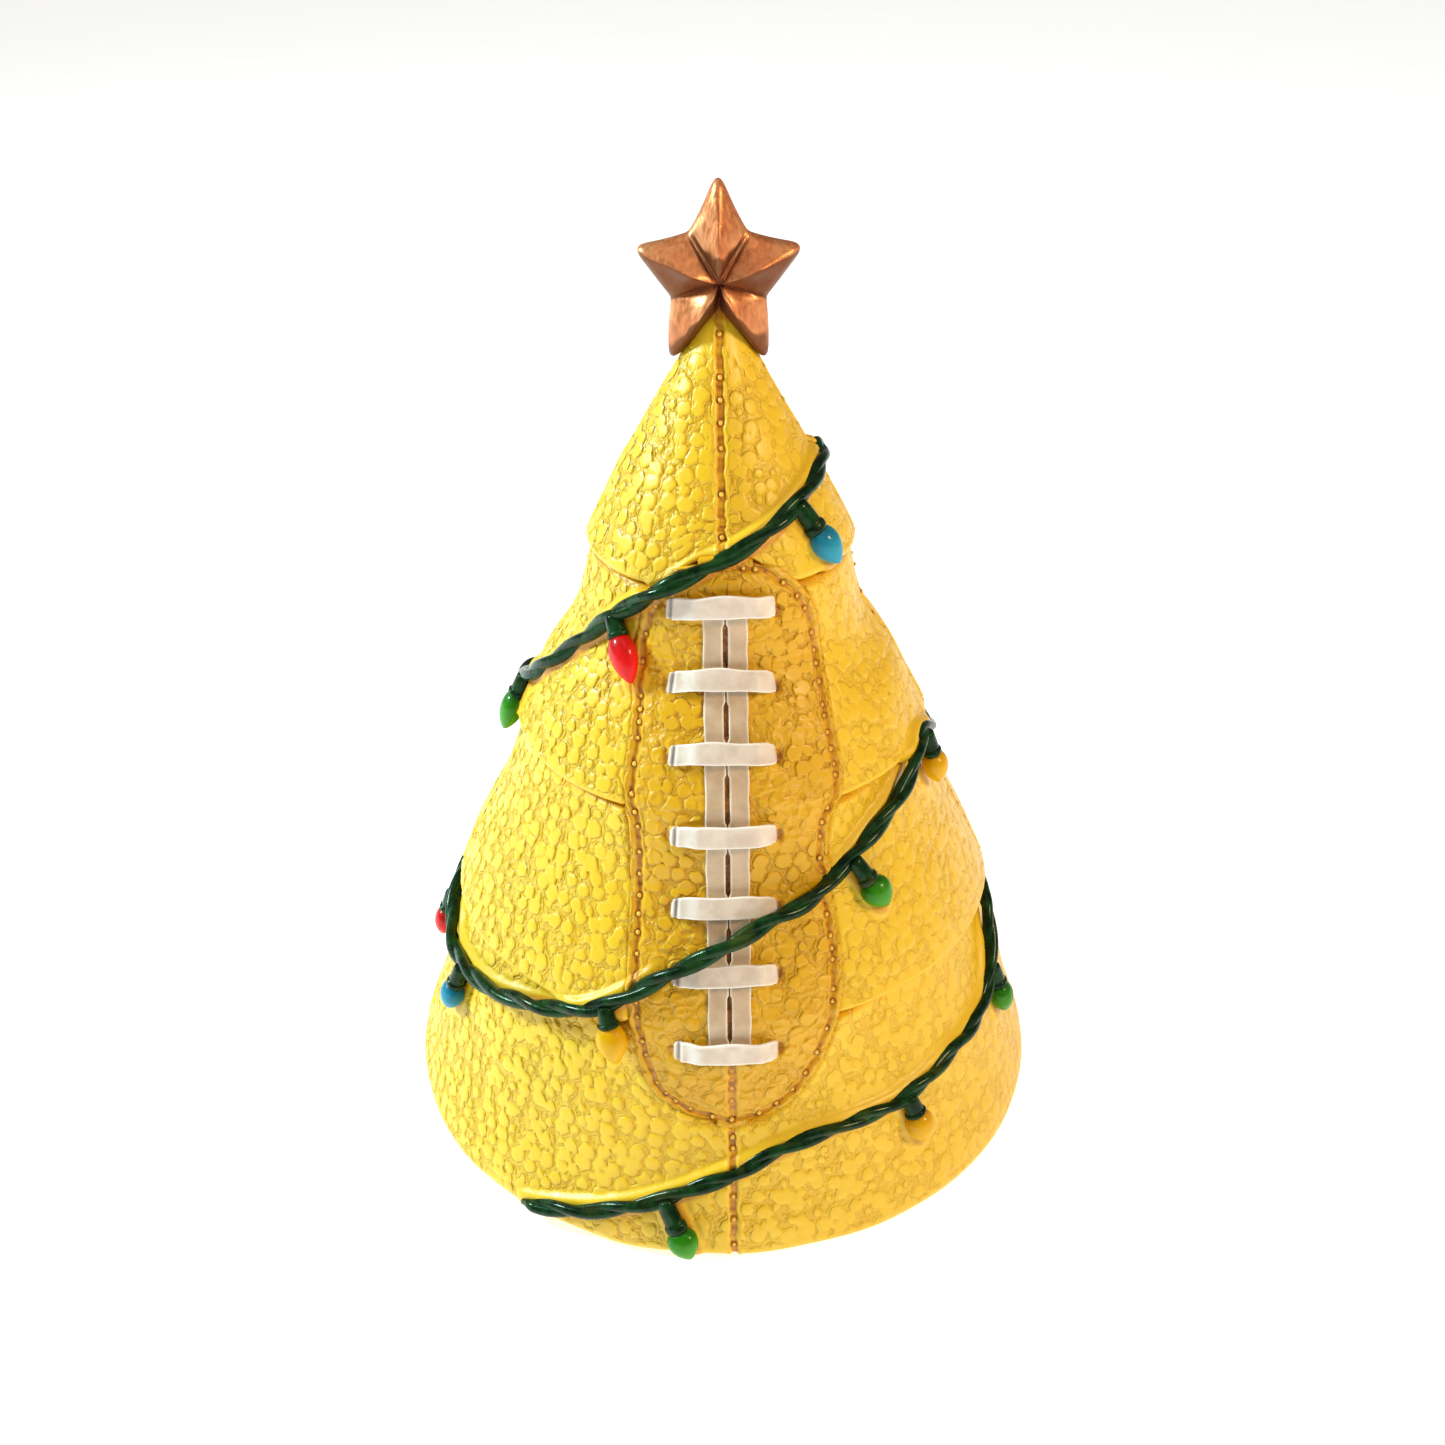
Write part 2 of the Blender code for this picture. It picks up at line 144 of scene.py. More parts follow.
STRAND_OFFSET = 0.52
STRAND_PITCH = 18.5
STRAND_STEP = 0.6
STRAND_SIDES = 12

# Each bulb hangs from the string: (the string's azimuth there, lean towards +X from straight down, colour,
# how far the bulb starts from the string, its length).
BULBS = (
    (140, 12, "green", 4.0, 5.8), (40, 21, "blue", 4.9, 6.0), (-45, 31, "red", 3.3, 7.0),
    (-89, 0, "green", 3.7, 6.8), (-125, 15, "yellow", 3.8, 5.8), (-163, -10, "blue", 4.1, 5.6),
    (-203, 14, "red", 3.9, 6.2), (-243, -8, "green", 4.2, 5.5), (-289, 2, "yellow", 4.0, 5.2),
    (-328, 23, "green", 4.4, 5.0), (-384, 16, "yellow", 3.2, 5.9), (-426, -12, "blue", 4.2, 5.3),
    (-448, -4, "red", 4.0, 5.6), (-486, -12, "green", 4.1, 5.8), (-524, 14, "yellow", 3.8, 5.5),
    (-562, -8, "blue", 4.0, 5.8), (-600, 12, "red", 4.2, 5.6), (-651, 4, "green", 4.0, 5.6),
    (-685, 12, "yellow", 3.4, 5.3), (-731, 26, "green", 5.3, 4.9),
)
# Turned profiles along the hanging axis: (distance from the top, radius).
SOCKET_PROFILE = (
    (-1.5, 0.9), (-1.2, 1.25), (0.2, 1.4), (0.9, 1.44), (1.2, 1.48), (1.4, 1.74), (1.8, 1.78), (2.1, 1.55),
)
BULB_PROFILE = (
    (-0.5, 1.25), (0.0, 1.55), (0.5, 1.9), (1.5, 2.26), (2.8, 2.4), (4.2, 2.24), (5.6, 1.8), (6.8, 1.16),
    (7.5, 0.66), (7.9, 0.24),
)
SOCKET_LENGTH = 1.95
BULB_LENGTH = 7.9
SOCKET_START = 1.5
SOCKET_LIFT = 0.5
LEAST_LIFT = -0.65
BULB_LIFT = 2.3
SOCKET_FLATNESS = 0.9
BULB_FLATNESS = 0.84
HANGING_SIDES = 28
GAP = 0.3

# The star: tip radius at each of five angles from straight up, and the valleys between them.
STAR_CENTRE = 138.7
STAR_TIPS = ((0.0, 14.95), (69.5, 12.95), (151.0, 14.4), (210.0, 14.4), (290.5, 12.85))
STAR_VALLEYS = ((33.0, 7.6), (112.0, 7.3), (180.0, 4.9), (248.0, 7.3), (327.0, 7.6))
STAR_BENDS = (0.93, 0.94, 1.01, 1.08, 1.0, 1.0, 1.08, 1.01, 0.94, 0.93)
STAR_RIDGE = 5.2
STAR_VALLEY = 2.6
STAR_ANGLES = 360
STAR_RINGS = 48
STAR_ROUNDING = 10

# The studio. Each light: (name, azimuth, elevation, distance and size in metres, power, colour).
LIGHTS = (
    ("key_left", -98.0, 33.0, 0.7, 0.16, 6.6, (0.76, 0.98, 1.0)),
    ("fill_right", 60.0, 36.0, 0.8, 0.2, 3.8, (1.0, 0.74, 0.44)),
    ("top_soft", 10.0, 78.0, 0.8, 0.5, 0.6, (1.0, 0.97, 0.92)),
)
SKY_STRENGTH = 0.2
FLOOR_GLOW = 0.72
FLOOR_REACH = 6000.0


# --- small tools ---


def smoothstep(low, high, value):
    """0 below low and 1 above high, with a smooth turn between; low may be the higher number."""
    share = np.clip((value - low) / (high - low), 0.0, 1.0)
    return share * share * (3.0 - 2.0 * share)


def bell(value, width):
    return np.exp(-((value / width) ** 2))


def smooth_through(points, steps):
    """A Catmull-Rom curve through the points, with this many steps from each to the next."""
    points = np.array(points, float)
    ends = np.vstack([2 * points[0] - points[1], points, 2 * points[-1] - points[-2]])
    shares = np.linspace(0.0, 1.0, steps, endpoint=False)[:, None]
    stretches = []
    for before, start, stop, after in zip(ends[:-3], ends[1:-2], ends[2:-1], ends[3:]):
        stretches.append(
            0.5 * (
                2 * start
                + (stop - before) * shares
                + (2 * before - 5 * start + 4 * stop - after) * shares**2
                + (3 * start - before - 3 * stop + after) * shares**3
            )
        )
    return np.vstack(stretches + [points[-1:]])


def lengths_along(places):
    steps = np.linalg.norm(np.diff(places, axis=0), axis=1)
    return np.concatenate([[0.0], np.cumsum(steps)])


def evenly(curve, step, places=None):
    """The curve again at even steps, measured on places where the curve's own numbers aren't lengths."""
    along = lengths_along(curve if places is None else places)
    marks = np.linspace(0.0, along[-1], int(round(along[-1] / step)) + 1)
    return np.column_stack([np.interp(marks, along, column) for column in curve.T])


def ripple(places, size, seed):
    """A smooth random field over points in millimetres, about -1 to 1, with swells about size across."""
    rng = np.random.default_rng(seed)
    waves = rng.normal(size=(14, 3))
    waves /= np.linalg.norm(waves, axis=1, keepdims=True)
    waves *= 2 * math.pi / (2 * size) * rng.uniform(0.6, 1.5, (14, 1))
    phases = rng.uniform(0, 2 * math.pi, 14)
    flat = places.reshape(-1, 3)
    total = sum(np.sin(flat @ wave + phase) for wave, phase in zip(waves, phases))
    return total.reshape(places.shape[:-1]) / math.sqrt(14)


def nearest_of(points, places):
    """For each place, the distance to the nearest of the points, and that point's number."""
    tree = kdtree.KDTree(len(points))
    for number, point in enumerate(points):
        tree.insert(point, number)
    tree.balance()
    found = [tree.find(place)[1:] for place in places.reshape(-1, 3).tolist()]
    numbers, distances = (np.reshape(part, places.shape[:-1]) for part in zip(*found))
    return distances, numbers


def turn_from(azimuth, seam):
    """How far each azimuth is from a seam, from -180 to 180."""
    return (azimuth - seam + 180.0) % 360.0 - 180.0


# --- the leather's outline ---


def lip_arc(tier):
    """The quarter round of a tier's lip, from its widest point to its underside."""
    height, radius = LIPS[tier]
    turns = np.linspace(0.0, math.pi / 2, 8)
    return np.column_stack(
        [height + LIP_ROUND * (1 - np.sin(turns)), radius - LIP_ROUND * (1 - np.cos(turns))]
    )


def cover_curve():
    """(height, radius) of what lies over the tiers, from the floor up, straight from lip to slope below."""
    points = [smooth_through(TIER_SLOPES[0], 8), np.array(LIPS[:1])]
    for slope, lip in zip(TIER_SLOPES[1:], LIPS[1:]):
        points += [smooth_through(slope, 8)[8:], np.array([lip])]
    return np.vstack(points)[::-1]


COVER = cover_curve()


def cover_radius(height):
    return np.interp(height, COVER[:, 0], COVER[:, 1])


def cover_normal(height):
    """The outward and upward parts of the cover's normal at a height, smoothed over the lips."""
    reach = 1.5
    fall = (cover_radius(height - reach) - cover_radius(height + reach)) / (2 * reach)
    length = np.sqrt(1 + fall**2)
    return 1 / length, fall / length


def tier_radius(height):
    """The tiers' own radius at a height, which is under the cover just below each lip."""
    points = [point for slope in TIER_SLOPES for point in slope]
    heights, radii = zip(*reversed(points))
    return np.interp(height, heights, radii)


def round_places(turn, radius, height):
    """Points from cylindrical numbers, with turn in radians from the front towards +X."""
    return np.stack([radius * np.sin(turn), -radius * np.cos(turn), height + 0.0 * turn], axis=-1)


def on_tree(azimuth, height, lift):
    """Points at these azimuths and heights, standing off the leather by lift."""
    return round_places(np.radians(azimuth), cover_radius(height) + lift, height)


def string_route():
    """(azimuth, height, lift) of the string's axis at even steps."""
    curve = smooth_through(STRING_ROUTE, 8)
    curve[:, 2] -= STRING_SINK + CREASE_SINK * smoothstep(1.2, 0.4, curve[:, 2])
    return evenly(curve, STRAND_STEP, on_tree(*curve.T))


ROUTE = string_route()


def hanging_axis(azimuth, lean, bulb_reach, bulb_length):
    """Where a socket starts under the string, and the direction in which it and its bulb hang."""
    route = ROUTE[::-1]
    height = float(np.interp(azimuth, route[:, 0], route[:, 1]))
    string_lift = float(np.interp(azimuth, route[:, 0], route[:, 2]))
    reach = bulb_reach + bulb_length
    steepness = math.atan2(cover_radius(height - reach) - cover_radius(height), reach)
    drop = reach * math.cos(math.radians(lean)) * math.cos(steepness)
    middle_radius = cover_radius(height - reach / 2)
    swing = math.degrees(reach * math.sin(math.radians(lean)) / middle_radius)
    start = on_tree(azimuth, height, max(string_lift, LEAST_LIFT) + SOCKET_LIFT)
    end = on_tree(azimuth + swing, height - drop, BULB_LIFT - 0.4)
    direction = (end - start) / np.linalg.norm(end - start)
    return start + direction * SOCKET_START, direction


HANGING = [hanging_axis(azimuth, lean, *lengths) for azimuth, lean, colour, *lengths in BULBS]


# --- meshes ---


def new_mesh(name, places, faces, material, smooth=True, **values):
    """An object from places in millimetres; values are numbers at its vertices, for the material to read."""
    mesh = bpy.data.meshes.new(name)
    mesh.from_pydata((np.reshape(places, (-1, 3)) * MM).tolist(), [], faces)
    mesh.validate()
    if smooth:
        mesh.shade_smooth()
    for key, numbers in values.items():
        attribute = mesh.attributes.new(key, "FLOAT", "POINT")
        attribute.data.foreach_set("value", np.asarray(numbers, np.float32).ravel())
    mesh.materials.append(material)
    obj = bpy.data.objects.new(name, mesh)
    bpy.context.scene.collection.objects.link(obj)
    return obj


def grid_faces(rows, columns, wrap_rows=False, wrap_columns=False, start=0):
    """Quads over vertices that run row by row, facing out where rows go down and columns to the right."""
    row = np.arange(rows if wrap_rows else rows - 1)
    column = np.arange(columns if wrap_columns else columns - 1)
    row, column = (part.ravel() for part in np.meshgrid(row, column, indexing="ij"))
    next_row, next_column = (row + 1) % rows, (column + 1) % columns
    corners = [(row, column), (next_row, column), (next_row, next_column), (row, next_column)]
    return (start + np.stack([r * columns + c for r, c in corners], axis=1)).tolist()


def tube_faces(rows, sides, start=0):
    """The wall and the two ends of a tube whose vertices run ring by ring."""
    faces = grid_faces(rows, sides, False, True, start)
    faces.append([start + side for side in range(sides)])
    faces.append([start + (rows - 1) * sides + side for side in reversed(range(sides))])
    return faces


def ball_faces(rows, sides):
    """Rings closed at each end by a fan to one more vertex; the first end's vertex comes first."""
    faces = grid_faces(rows, sides, False, True)
    last = (rows - 1) * sides
    for side in range(sides):
        after = (side + 1) % sides
        faces.append([side, after, rows * sides])
        faces.append([last + after, last + side, rows * sides + 1])
    return faces


def place_piece(piece, slot, *nodes):
    """The piece is fixed to the tree, and stands for these CAD nodes."""
    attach(piece, "root")
    if nodes:
        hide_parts(*nodes)
    return piece


# --- the leather's surface ---


def pebbles(turn, along, radius, row_radius, seed):
    """How far each place is from the nearest pebble's middle, from the next, and how far below the first.

    turn is a share of the way round, along the way down the slope, and row_radius gives the radius there."""
    rng = np.random.default_rng(seed)
    rows = int(np.ceil(along.max() / PEBBLE_ROW)) + 4
    middles = (np.arange(rows) - 1.5) * PEBBLE_ROW
    counts = np.maximum(4, np.round(2 * math.pi * row_radius(middles) / PEBBLE_PITCH)).astype(int)
    shift = rng.uniform(-PEBBLE_JITTER, PEBBLE_JITTER, (rows, counts.max(), 2))
    size = rng.uniform(0.76, 1.22, (rows, counts.max()))
    size[rng.random(size.shape) < SMALL_SHARE] *= 0.52
    nearest = np.full(along.shape, 9.0)
    second = np.full(along.shape, 9.0)
    lower = np.zeros(along.shape)
    row_here = np.floor(along / PEBBLE_ROW).astype(int) + 2
    for row_step in (-1, 0, 1):
        row = np.clip(row_here + row_step, 0, rows - 1)
        count = counts[row]
        stagger = 0.5 * (row % 2)
        column_here = np.floor(turn * count + stagger).astype(int)
        for column_step in (-1, 0, 1):
            column = column_here + column_step
            cell = column % count
            centre_turn = (column + 0.5 + shift[row, cell, 0] - stagger) / count
            centre_along = middles[row] + shift[row, cell, 1] * PEBBLE_ROW
            distance = np.hypot((turn - centre_turn) * 2 * math.pi * radius, along - centre_along)
            distance /= size[row, cell]
            second = np.minimum(second, np.maximum(nearest, distance))
            lower = np.where(distance < nearest, along - centre_along, lower)
            nearest = np.minimum(nearest, distance)
    return nearest, second, lower / PEBBLE_RADIUS


def grain_rise(nearest, second):
    """How high flat-topped pebbles stand, from 0 in their gaps to 1, with a thin halo round each."""
    top = smoothstep(PEBBLE_RADIUS + 0.14, PEBBLE_RADIUS - 0.16, nearest)
    halo = 0.5 * bell(nearest - PEBBLE_RADIUS - 0.36, 0.15)
    return np.maximum(top, halo) * smoothstep(-0.04, 0.25, second - nearest)


def boldness(azimuth):
    """The grain is cut deeper on the tree's left side than on its right."""
    return 1.0 - 0.35 * np.sin(np.radians(azimuth))


def seam_shape(offset, along, seed, width=SEAM_WIDTH):
    """A seam at these distances from its middle: (height, its brown stain, how far it quiets the grain)."""
    wander = 0.12 * np.sin(along * 1.1 + seed) + 0.07 * np.sin(along * 2.9 + 2 * seed)
    offset = np.abs(offset + wander)
    channel = 1 - smoothstep(width * 0.65, width * 1.15, offset)
    ridge = bell(offset - width * 1.5, 0.2)
    stain = 0.42 + 0.2 * np.sin(along * 1.7 + seed) + 0.16 * np.sin(along * 4.3 + 3 * seed)
    wash = channel * np.clip(stain, 0.25, 0.85)
    quiet = 1 - smoothstep(width * 1.3, width * 2.2, offset)
    return SEAM_RIDGE * ridge - SEAM_DEPTH * channel, wash, quiet


def bead_rings(places):
    """The dark ring round each stitch bead, at these places."""
    distance, _ = nearest_of(BEAD_PLACES, places)
    return 0.8 * bell(distance - BEAD_RING, 0.17)


def panel_outline():
    """The panel's stitched edge: its left and right sides as (height, x) curves, from the top down."""
    sides = []
    for side in (1, 2):
        points = [(row[0], row[side]) for row in PANEL_EDGE]
        sides.append(smooth_through(points, 10))
    return sides


PANEL_LEFT, PANEL_RIGHT = panel_outline()


def panel_sides(height):
    """The x of the panel's left and right stitched edges at these heights."""
    return (np.interp(-height, -side[:, 0], side[:, 1]) for side in (PANEL_LEFT, PANEL_RIGHT))


# How far the cover runs from the floor up to each of these heights.
SLANT_HEIGHTS = np.linspace(0.0, 135.0, 1351)
SLANT = np.concatenate(
    [[0.0], np.cumsum(np.hypot(np.diff(SLANT_HEIGHTS), np.diff(cover_radius(SLANT_HEIGHTS))))]
)


def flat_place(x, height):
    """The cover rolled out flat at the front: (way round, way down) in millimetres."""
    radius = cover_radius(height)
    round_way = radius * np.arcsin(np.clip(x / radius, -1.0, 1.0))
    return np.stack([round_way, -np.interp(height, SLANT_HEIGHTS, SLANT)], axis=-1)


def panel_loop():
    """The stitched edge rolled out flat, as a closed line at even steps, clockwise from the top."""
    left = flat_place(PANEL_LEFT[:, 1], PANEL_LEFT[:, 0])
    right = flat_place(PANEL_RIGHT[:, 1], PANEL_RIGHT[:, 0])
    return evenly(np.vstack([right, left[::-1], right[:1]]), 0.1)


PANEL_LOOP = panel_loop()


def panel_distance(x, height):
    """How far each place is outside the stitched edge, negative inside it, and how far along the edge."""
    flat = flat_place(x, height)
    loop, solid = (
        np.concatenate([part, np.zeros_like(part[..., :1])], axis=-1) for part in (PANEL_LOOP, flat)
    )
    distance, number = nearest_of(loop, solid)
    left, right = panel_sides(height)
    top, bottom = PANEL_EDGE[0][0], PANEL_EDGE[-1][0]
    inside = (x > left) & (x < right) & (height < top) & (height > bottom)
    return np.where(inside, -distance, distance), lengths_along(PANEL_LOOP)[number]


def near_lights(places):
    """How the leather swells up under the string and bulbs: (swell, orange painted shadow below the string
    and painted shade round the bulbs, quieting).
    """
    flat_route = on_tree(ROUTE[:, 0], ROUTE[:, 1], 0.0)
    distance, number = nearest_of(flat_route, places)
    over_laces = smoothstep(1.3, 2.4, ROUTE[number, 2])
    tucked = smoothstep(1.2, 0.4, ROUTE[number, 2] + STRING_SINK)
    below = smoothstep(-0.5, 0.7, flat_route[number, 2] - places[..., 2])
    open_here = (1 - over_laces) * (1 - tucked)
    swell = (STRING_SWELL - 0.35 * below) * smoothstep(2.25, 1.1, distance) * open_here
    # painted shadow: an orange-brown band on the leather just below the string
    wash = 0.55 * bell(distance - 1.7, 0.55) * below * open_here
    hanging = np.vstack([
        start + direction * reach
        for (start, direction), (*_, bulb_reach, bulb_length) in zip(HANGING, BULBS)
        for reach in np.arange(0.0, bulb_reach + bulb_length - SOCKET_START, 0.5)
    ])
    distance_bulb, _ = nearest_of(hanging, places)
    swell = np.maximum(swell, BULB_SWELL * smoothstep(3.3, 1.9, distance_bulb))
    # painted shade on the leather round each bulb and socket
    wash = np.maximum(wash, 0.3 * smoothstep(2.9, 2.3, distance_bulb))
    quiet = np.maximum(smoothstep(2.6, 1.8, distance) * open_here, smoothstep(3.5, 2.7, distance_bulb))
    return swell, wash, quiet


def crowded_turns(tier):
    """The azimuth of each column of a tier's grid in degrees, closer together at its seams."""
    radius = LIPS[tier][1]
    turns = np.linspace(-180.0, 180.0, 20001)
    weight = np.ones_like(turns)
    for seam in TIER_SEAMS[tier]:
        weight += SEAM_CROWDING * bell(np.radians(turn_from(turns, seam)) * radius, SEAM_CROWD_WIDTH)
    share = np.concatenate([[0.0], np.cumsum((weight[1:] + weight[:-1]) / 2)])
    marks = np.linspace(0.0, share[-1], TIER_COLUMNS[tier], endpoint=False)
    return np.interp(marks, share, turns)


def tier_outside(tier):
    """The outside of a tier from its neck to its lip's underside: heights, radii, normals and way down."""
    curve = evenly(np.vstack([smooth_through(TIER_SLOPES[tier], 10), lip_arc(tier)]), ROW_STEPS[tier])
    run = np.gradient(curve, axis=0)
    run /= np.linalg.norm(run, axis=1, keepdims=True)
    return curve[:, 0], curve[:, 1], np.column_stack([run[:, 1], -run[:, 0]]), lengths_along(curve)


def tier_inside(tier):
    """The rest of a tier's outline as (height, radius): from under its lip up the bore to its neck."""
    height, radius = LIPS[tier]
    bore = radius - LIP_DEPTH
    top_height, top_radius = TIER_SLOPES[tier][0]
    inside = [(height, bore), (height + LIP_DEPTH, bore)]
    for slope_height, slope_radius in reversed(TIER_SLOPES[tier][1:]):
        inner = min(slope_radius - WALL, bore - GAP)
        if slope_height > height + LIP_DEPTH and inner > LEAST_BORE + 0.1:
            inside.append((slope_height, inner))
    neck = max(LEAST_BORE, top_radius - WALL - 1.0)
    inside += [(top_height - WALL, neck), (top_height, neck)]
    return np.array(inside)


def tier_leather(tier, material):
    """One tier: a closed shell whose outside has pebbles, seams, and swells where the lights lie on it."""
    height_down, radius_down, normal, down = tier_outside(tier)
    azimuth = crowded_turns(tier)
    turn = np.radians(azimuth)
    shape = (len(down), len(azimuth))
    height, radius, along = (
        np.repeat(part[:, None], shape[1], axis=1) for part in (height_down, radius_down, down)
    )
    if tier == 0:
        notch = NOTCH_RISE * bell(np.abs(azimuth / NOTCH_HALF_WIDTH) ** 1.5, 1.0)[None, :]
        share = smoothstep(down[-1] - NOTCH_REACH, down[-1], along)
        lifted = height + notch * share
        radius = radius + (np.interp(-lifted, -height_down, radius_down) - radius) * smoothstep(
            down[-1] - 0.1, down[-1] - 3.0, along
        ) - notch * share * 0.42 * smoothstep(down[-1] - 3.0, down[-1] - 0.1, along)
        height = lifted

    around = np.broadcast_to(turn, shape)
    places = round_places(around, radius, height)

    def row_radius(way):
        return np.interp(way, down, radius_down)

    nearest, second, lower = pebbles(around / (2 * math.pi) + 0.5, along, radius, row_radius, 11 + tier)
    bold = boldness(azimuth)[None, :]
    scaly = smoothstep(1.0, 0.68, bold)
    nearest = nearest + PEBBLE_SCALLOP * ripple(places, 0.8, 21 + tier)
    rise = grain_rise(nearest, second) * (1 - 0.5 * scaly * smoothstep(0.6, -0.8, lower))
    swell, wash, quiet = near_lights(places)

    seams = np.zeros(shape)
    for number, seam in enumerate(TIER_SEAMS[tier]):
        offset = np.radians(turn_from(azimuth, seam))[None, :] * radius
        cut, stain, calm = seam_shape(offset, along, 1.0 + number + 2 * tier)
        seams += cut
        wash = np.maximum(wash, stain)
        quiet = np.maximum(quiet, calm)

    quiet = np.maximum(quiet, smoothstep(down[-1] - LIP_BAND - 1.4, down[-1] - LIP_BAND, along))
    neck = smoothstep(1.4, 0.0, along)
    # painted shade at the top of each tier, where it runs in under the lip above, and under the star on the
    # top tier
    wash = np.maximum(wash, 0.3 * neck if tier else 0.75 * smoothstep(3.2, 0.5, along))
    if tier == 0:
        quiet = np.maximum(quiet, smoothstep(9.0, 5.0, along))

    wash = np.maximum(wash, bead_rings(places))
    beaded = (1 - rise) * (1 - quiet)
    relief = PEBBLE_RISE * bold * (rise - 0.5) * (1 - quiet) + seams + swell
    relief += 0.07 * bold * beaded * ripple(places, 0.75, 41 + tier)
    relief += 0.12 * ripple(places, 9.0, 31 + tier)
    front = np.cos(around) > 0.5
    outside_panel = np.full(shape, 60.0)
    x = places[..., 0]
    distance, _ = panel_distance(x[front], height[front])
    outside_panel[front] = distance
    bridge = bell(np.maximum(outside_panel, 0.0), 5.0) * (cover_radius(height) - radius)
    relief += np.where(along < down[-1] - LIP_BAND, np.maximum(bridge, 0.0), 0.0)
    tuck = smoothstep(PANEL_MARGIN - 0.5, 0.2, outside_panel)
    if tier == 0:
        tuck *= 0.5
    relief -= TUCK_DEPTH * tuck
    relief *= smoothstep(0.0, 1.0, along) if tier else 1.0

    moved_radius = radius + normal[:, 1:] * relief
    moved_height = height + normal[:, :1] * relief
    inside = tier_inside(tier)
    moved_radius = np.vstack([moved_radius, np.repeat(inside[:, 1:], shape[1], axis=1)])
    moved_height = np.vstack([moved_height, np.repeat(inside[:, :1], shape[1], axis=1)])
    rows = len(moved_radius)
    places = round_places(np.broadcast_to(turn, (rows, shape[1])), moved_radius, moved_height)
    padding = np.zeros((len(inside), shape[1]))
    shown = (1 - quiet) * bold
    values = {"rise": 1 - (1 - rise) * (1 - quiet) * bold, "wash": wash, "reach": nearest, "grain": shown}
    piece = new_mesh(
        f"leather_tier_{tier + 1}", places, grid_faces(rows, shape[1], True, True), material,
        **{key: np.vstack([numbers, padding]) for key, numbers in values.items()},
    )
    return place_piece(piece, "yellow_leather", f"tree_tier_{tier + 1}")


# --- the stitched panel ---


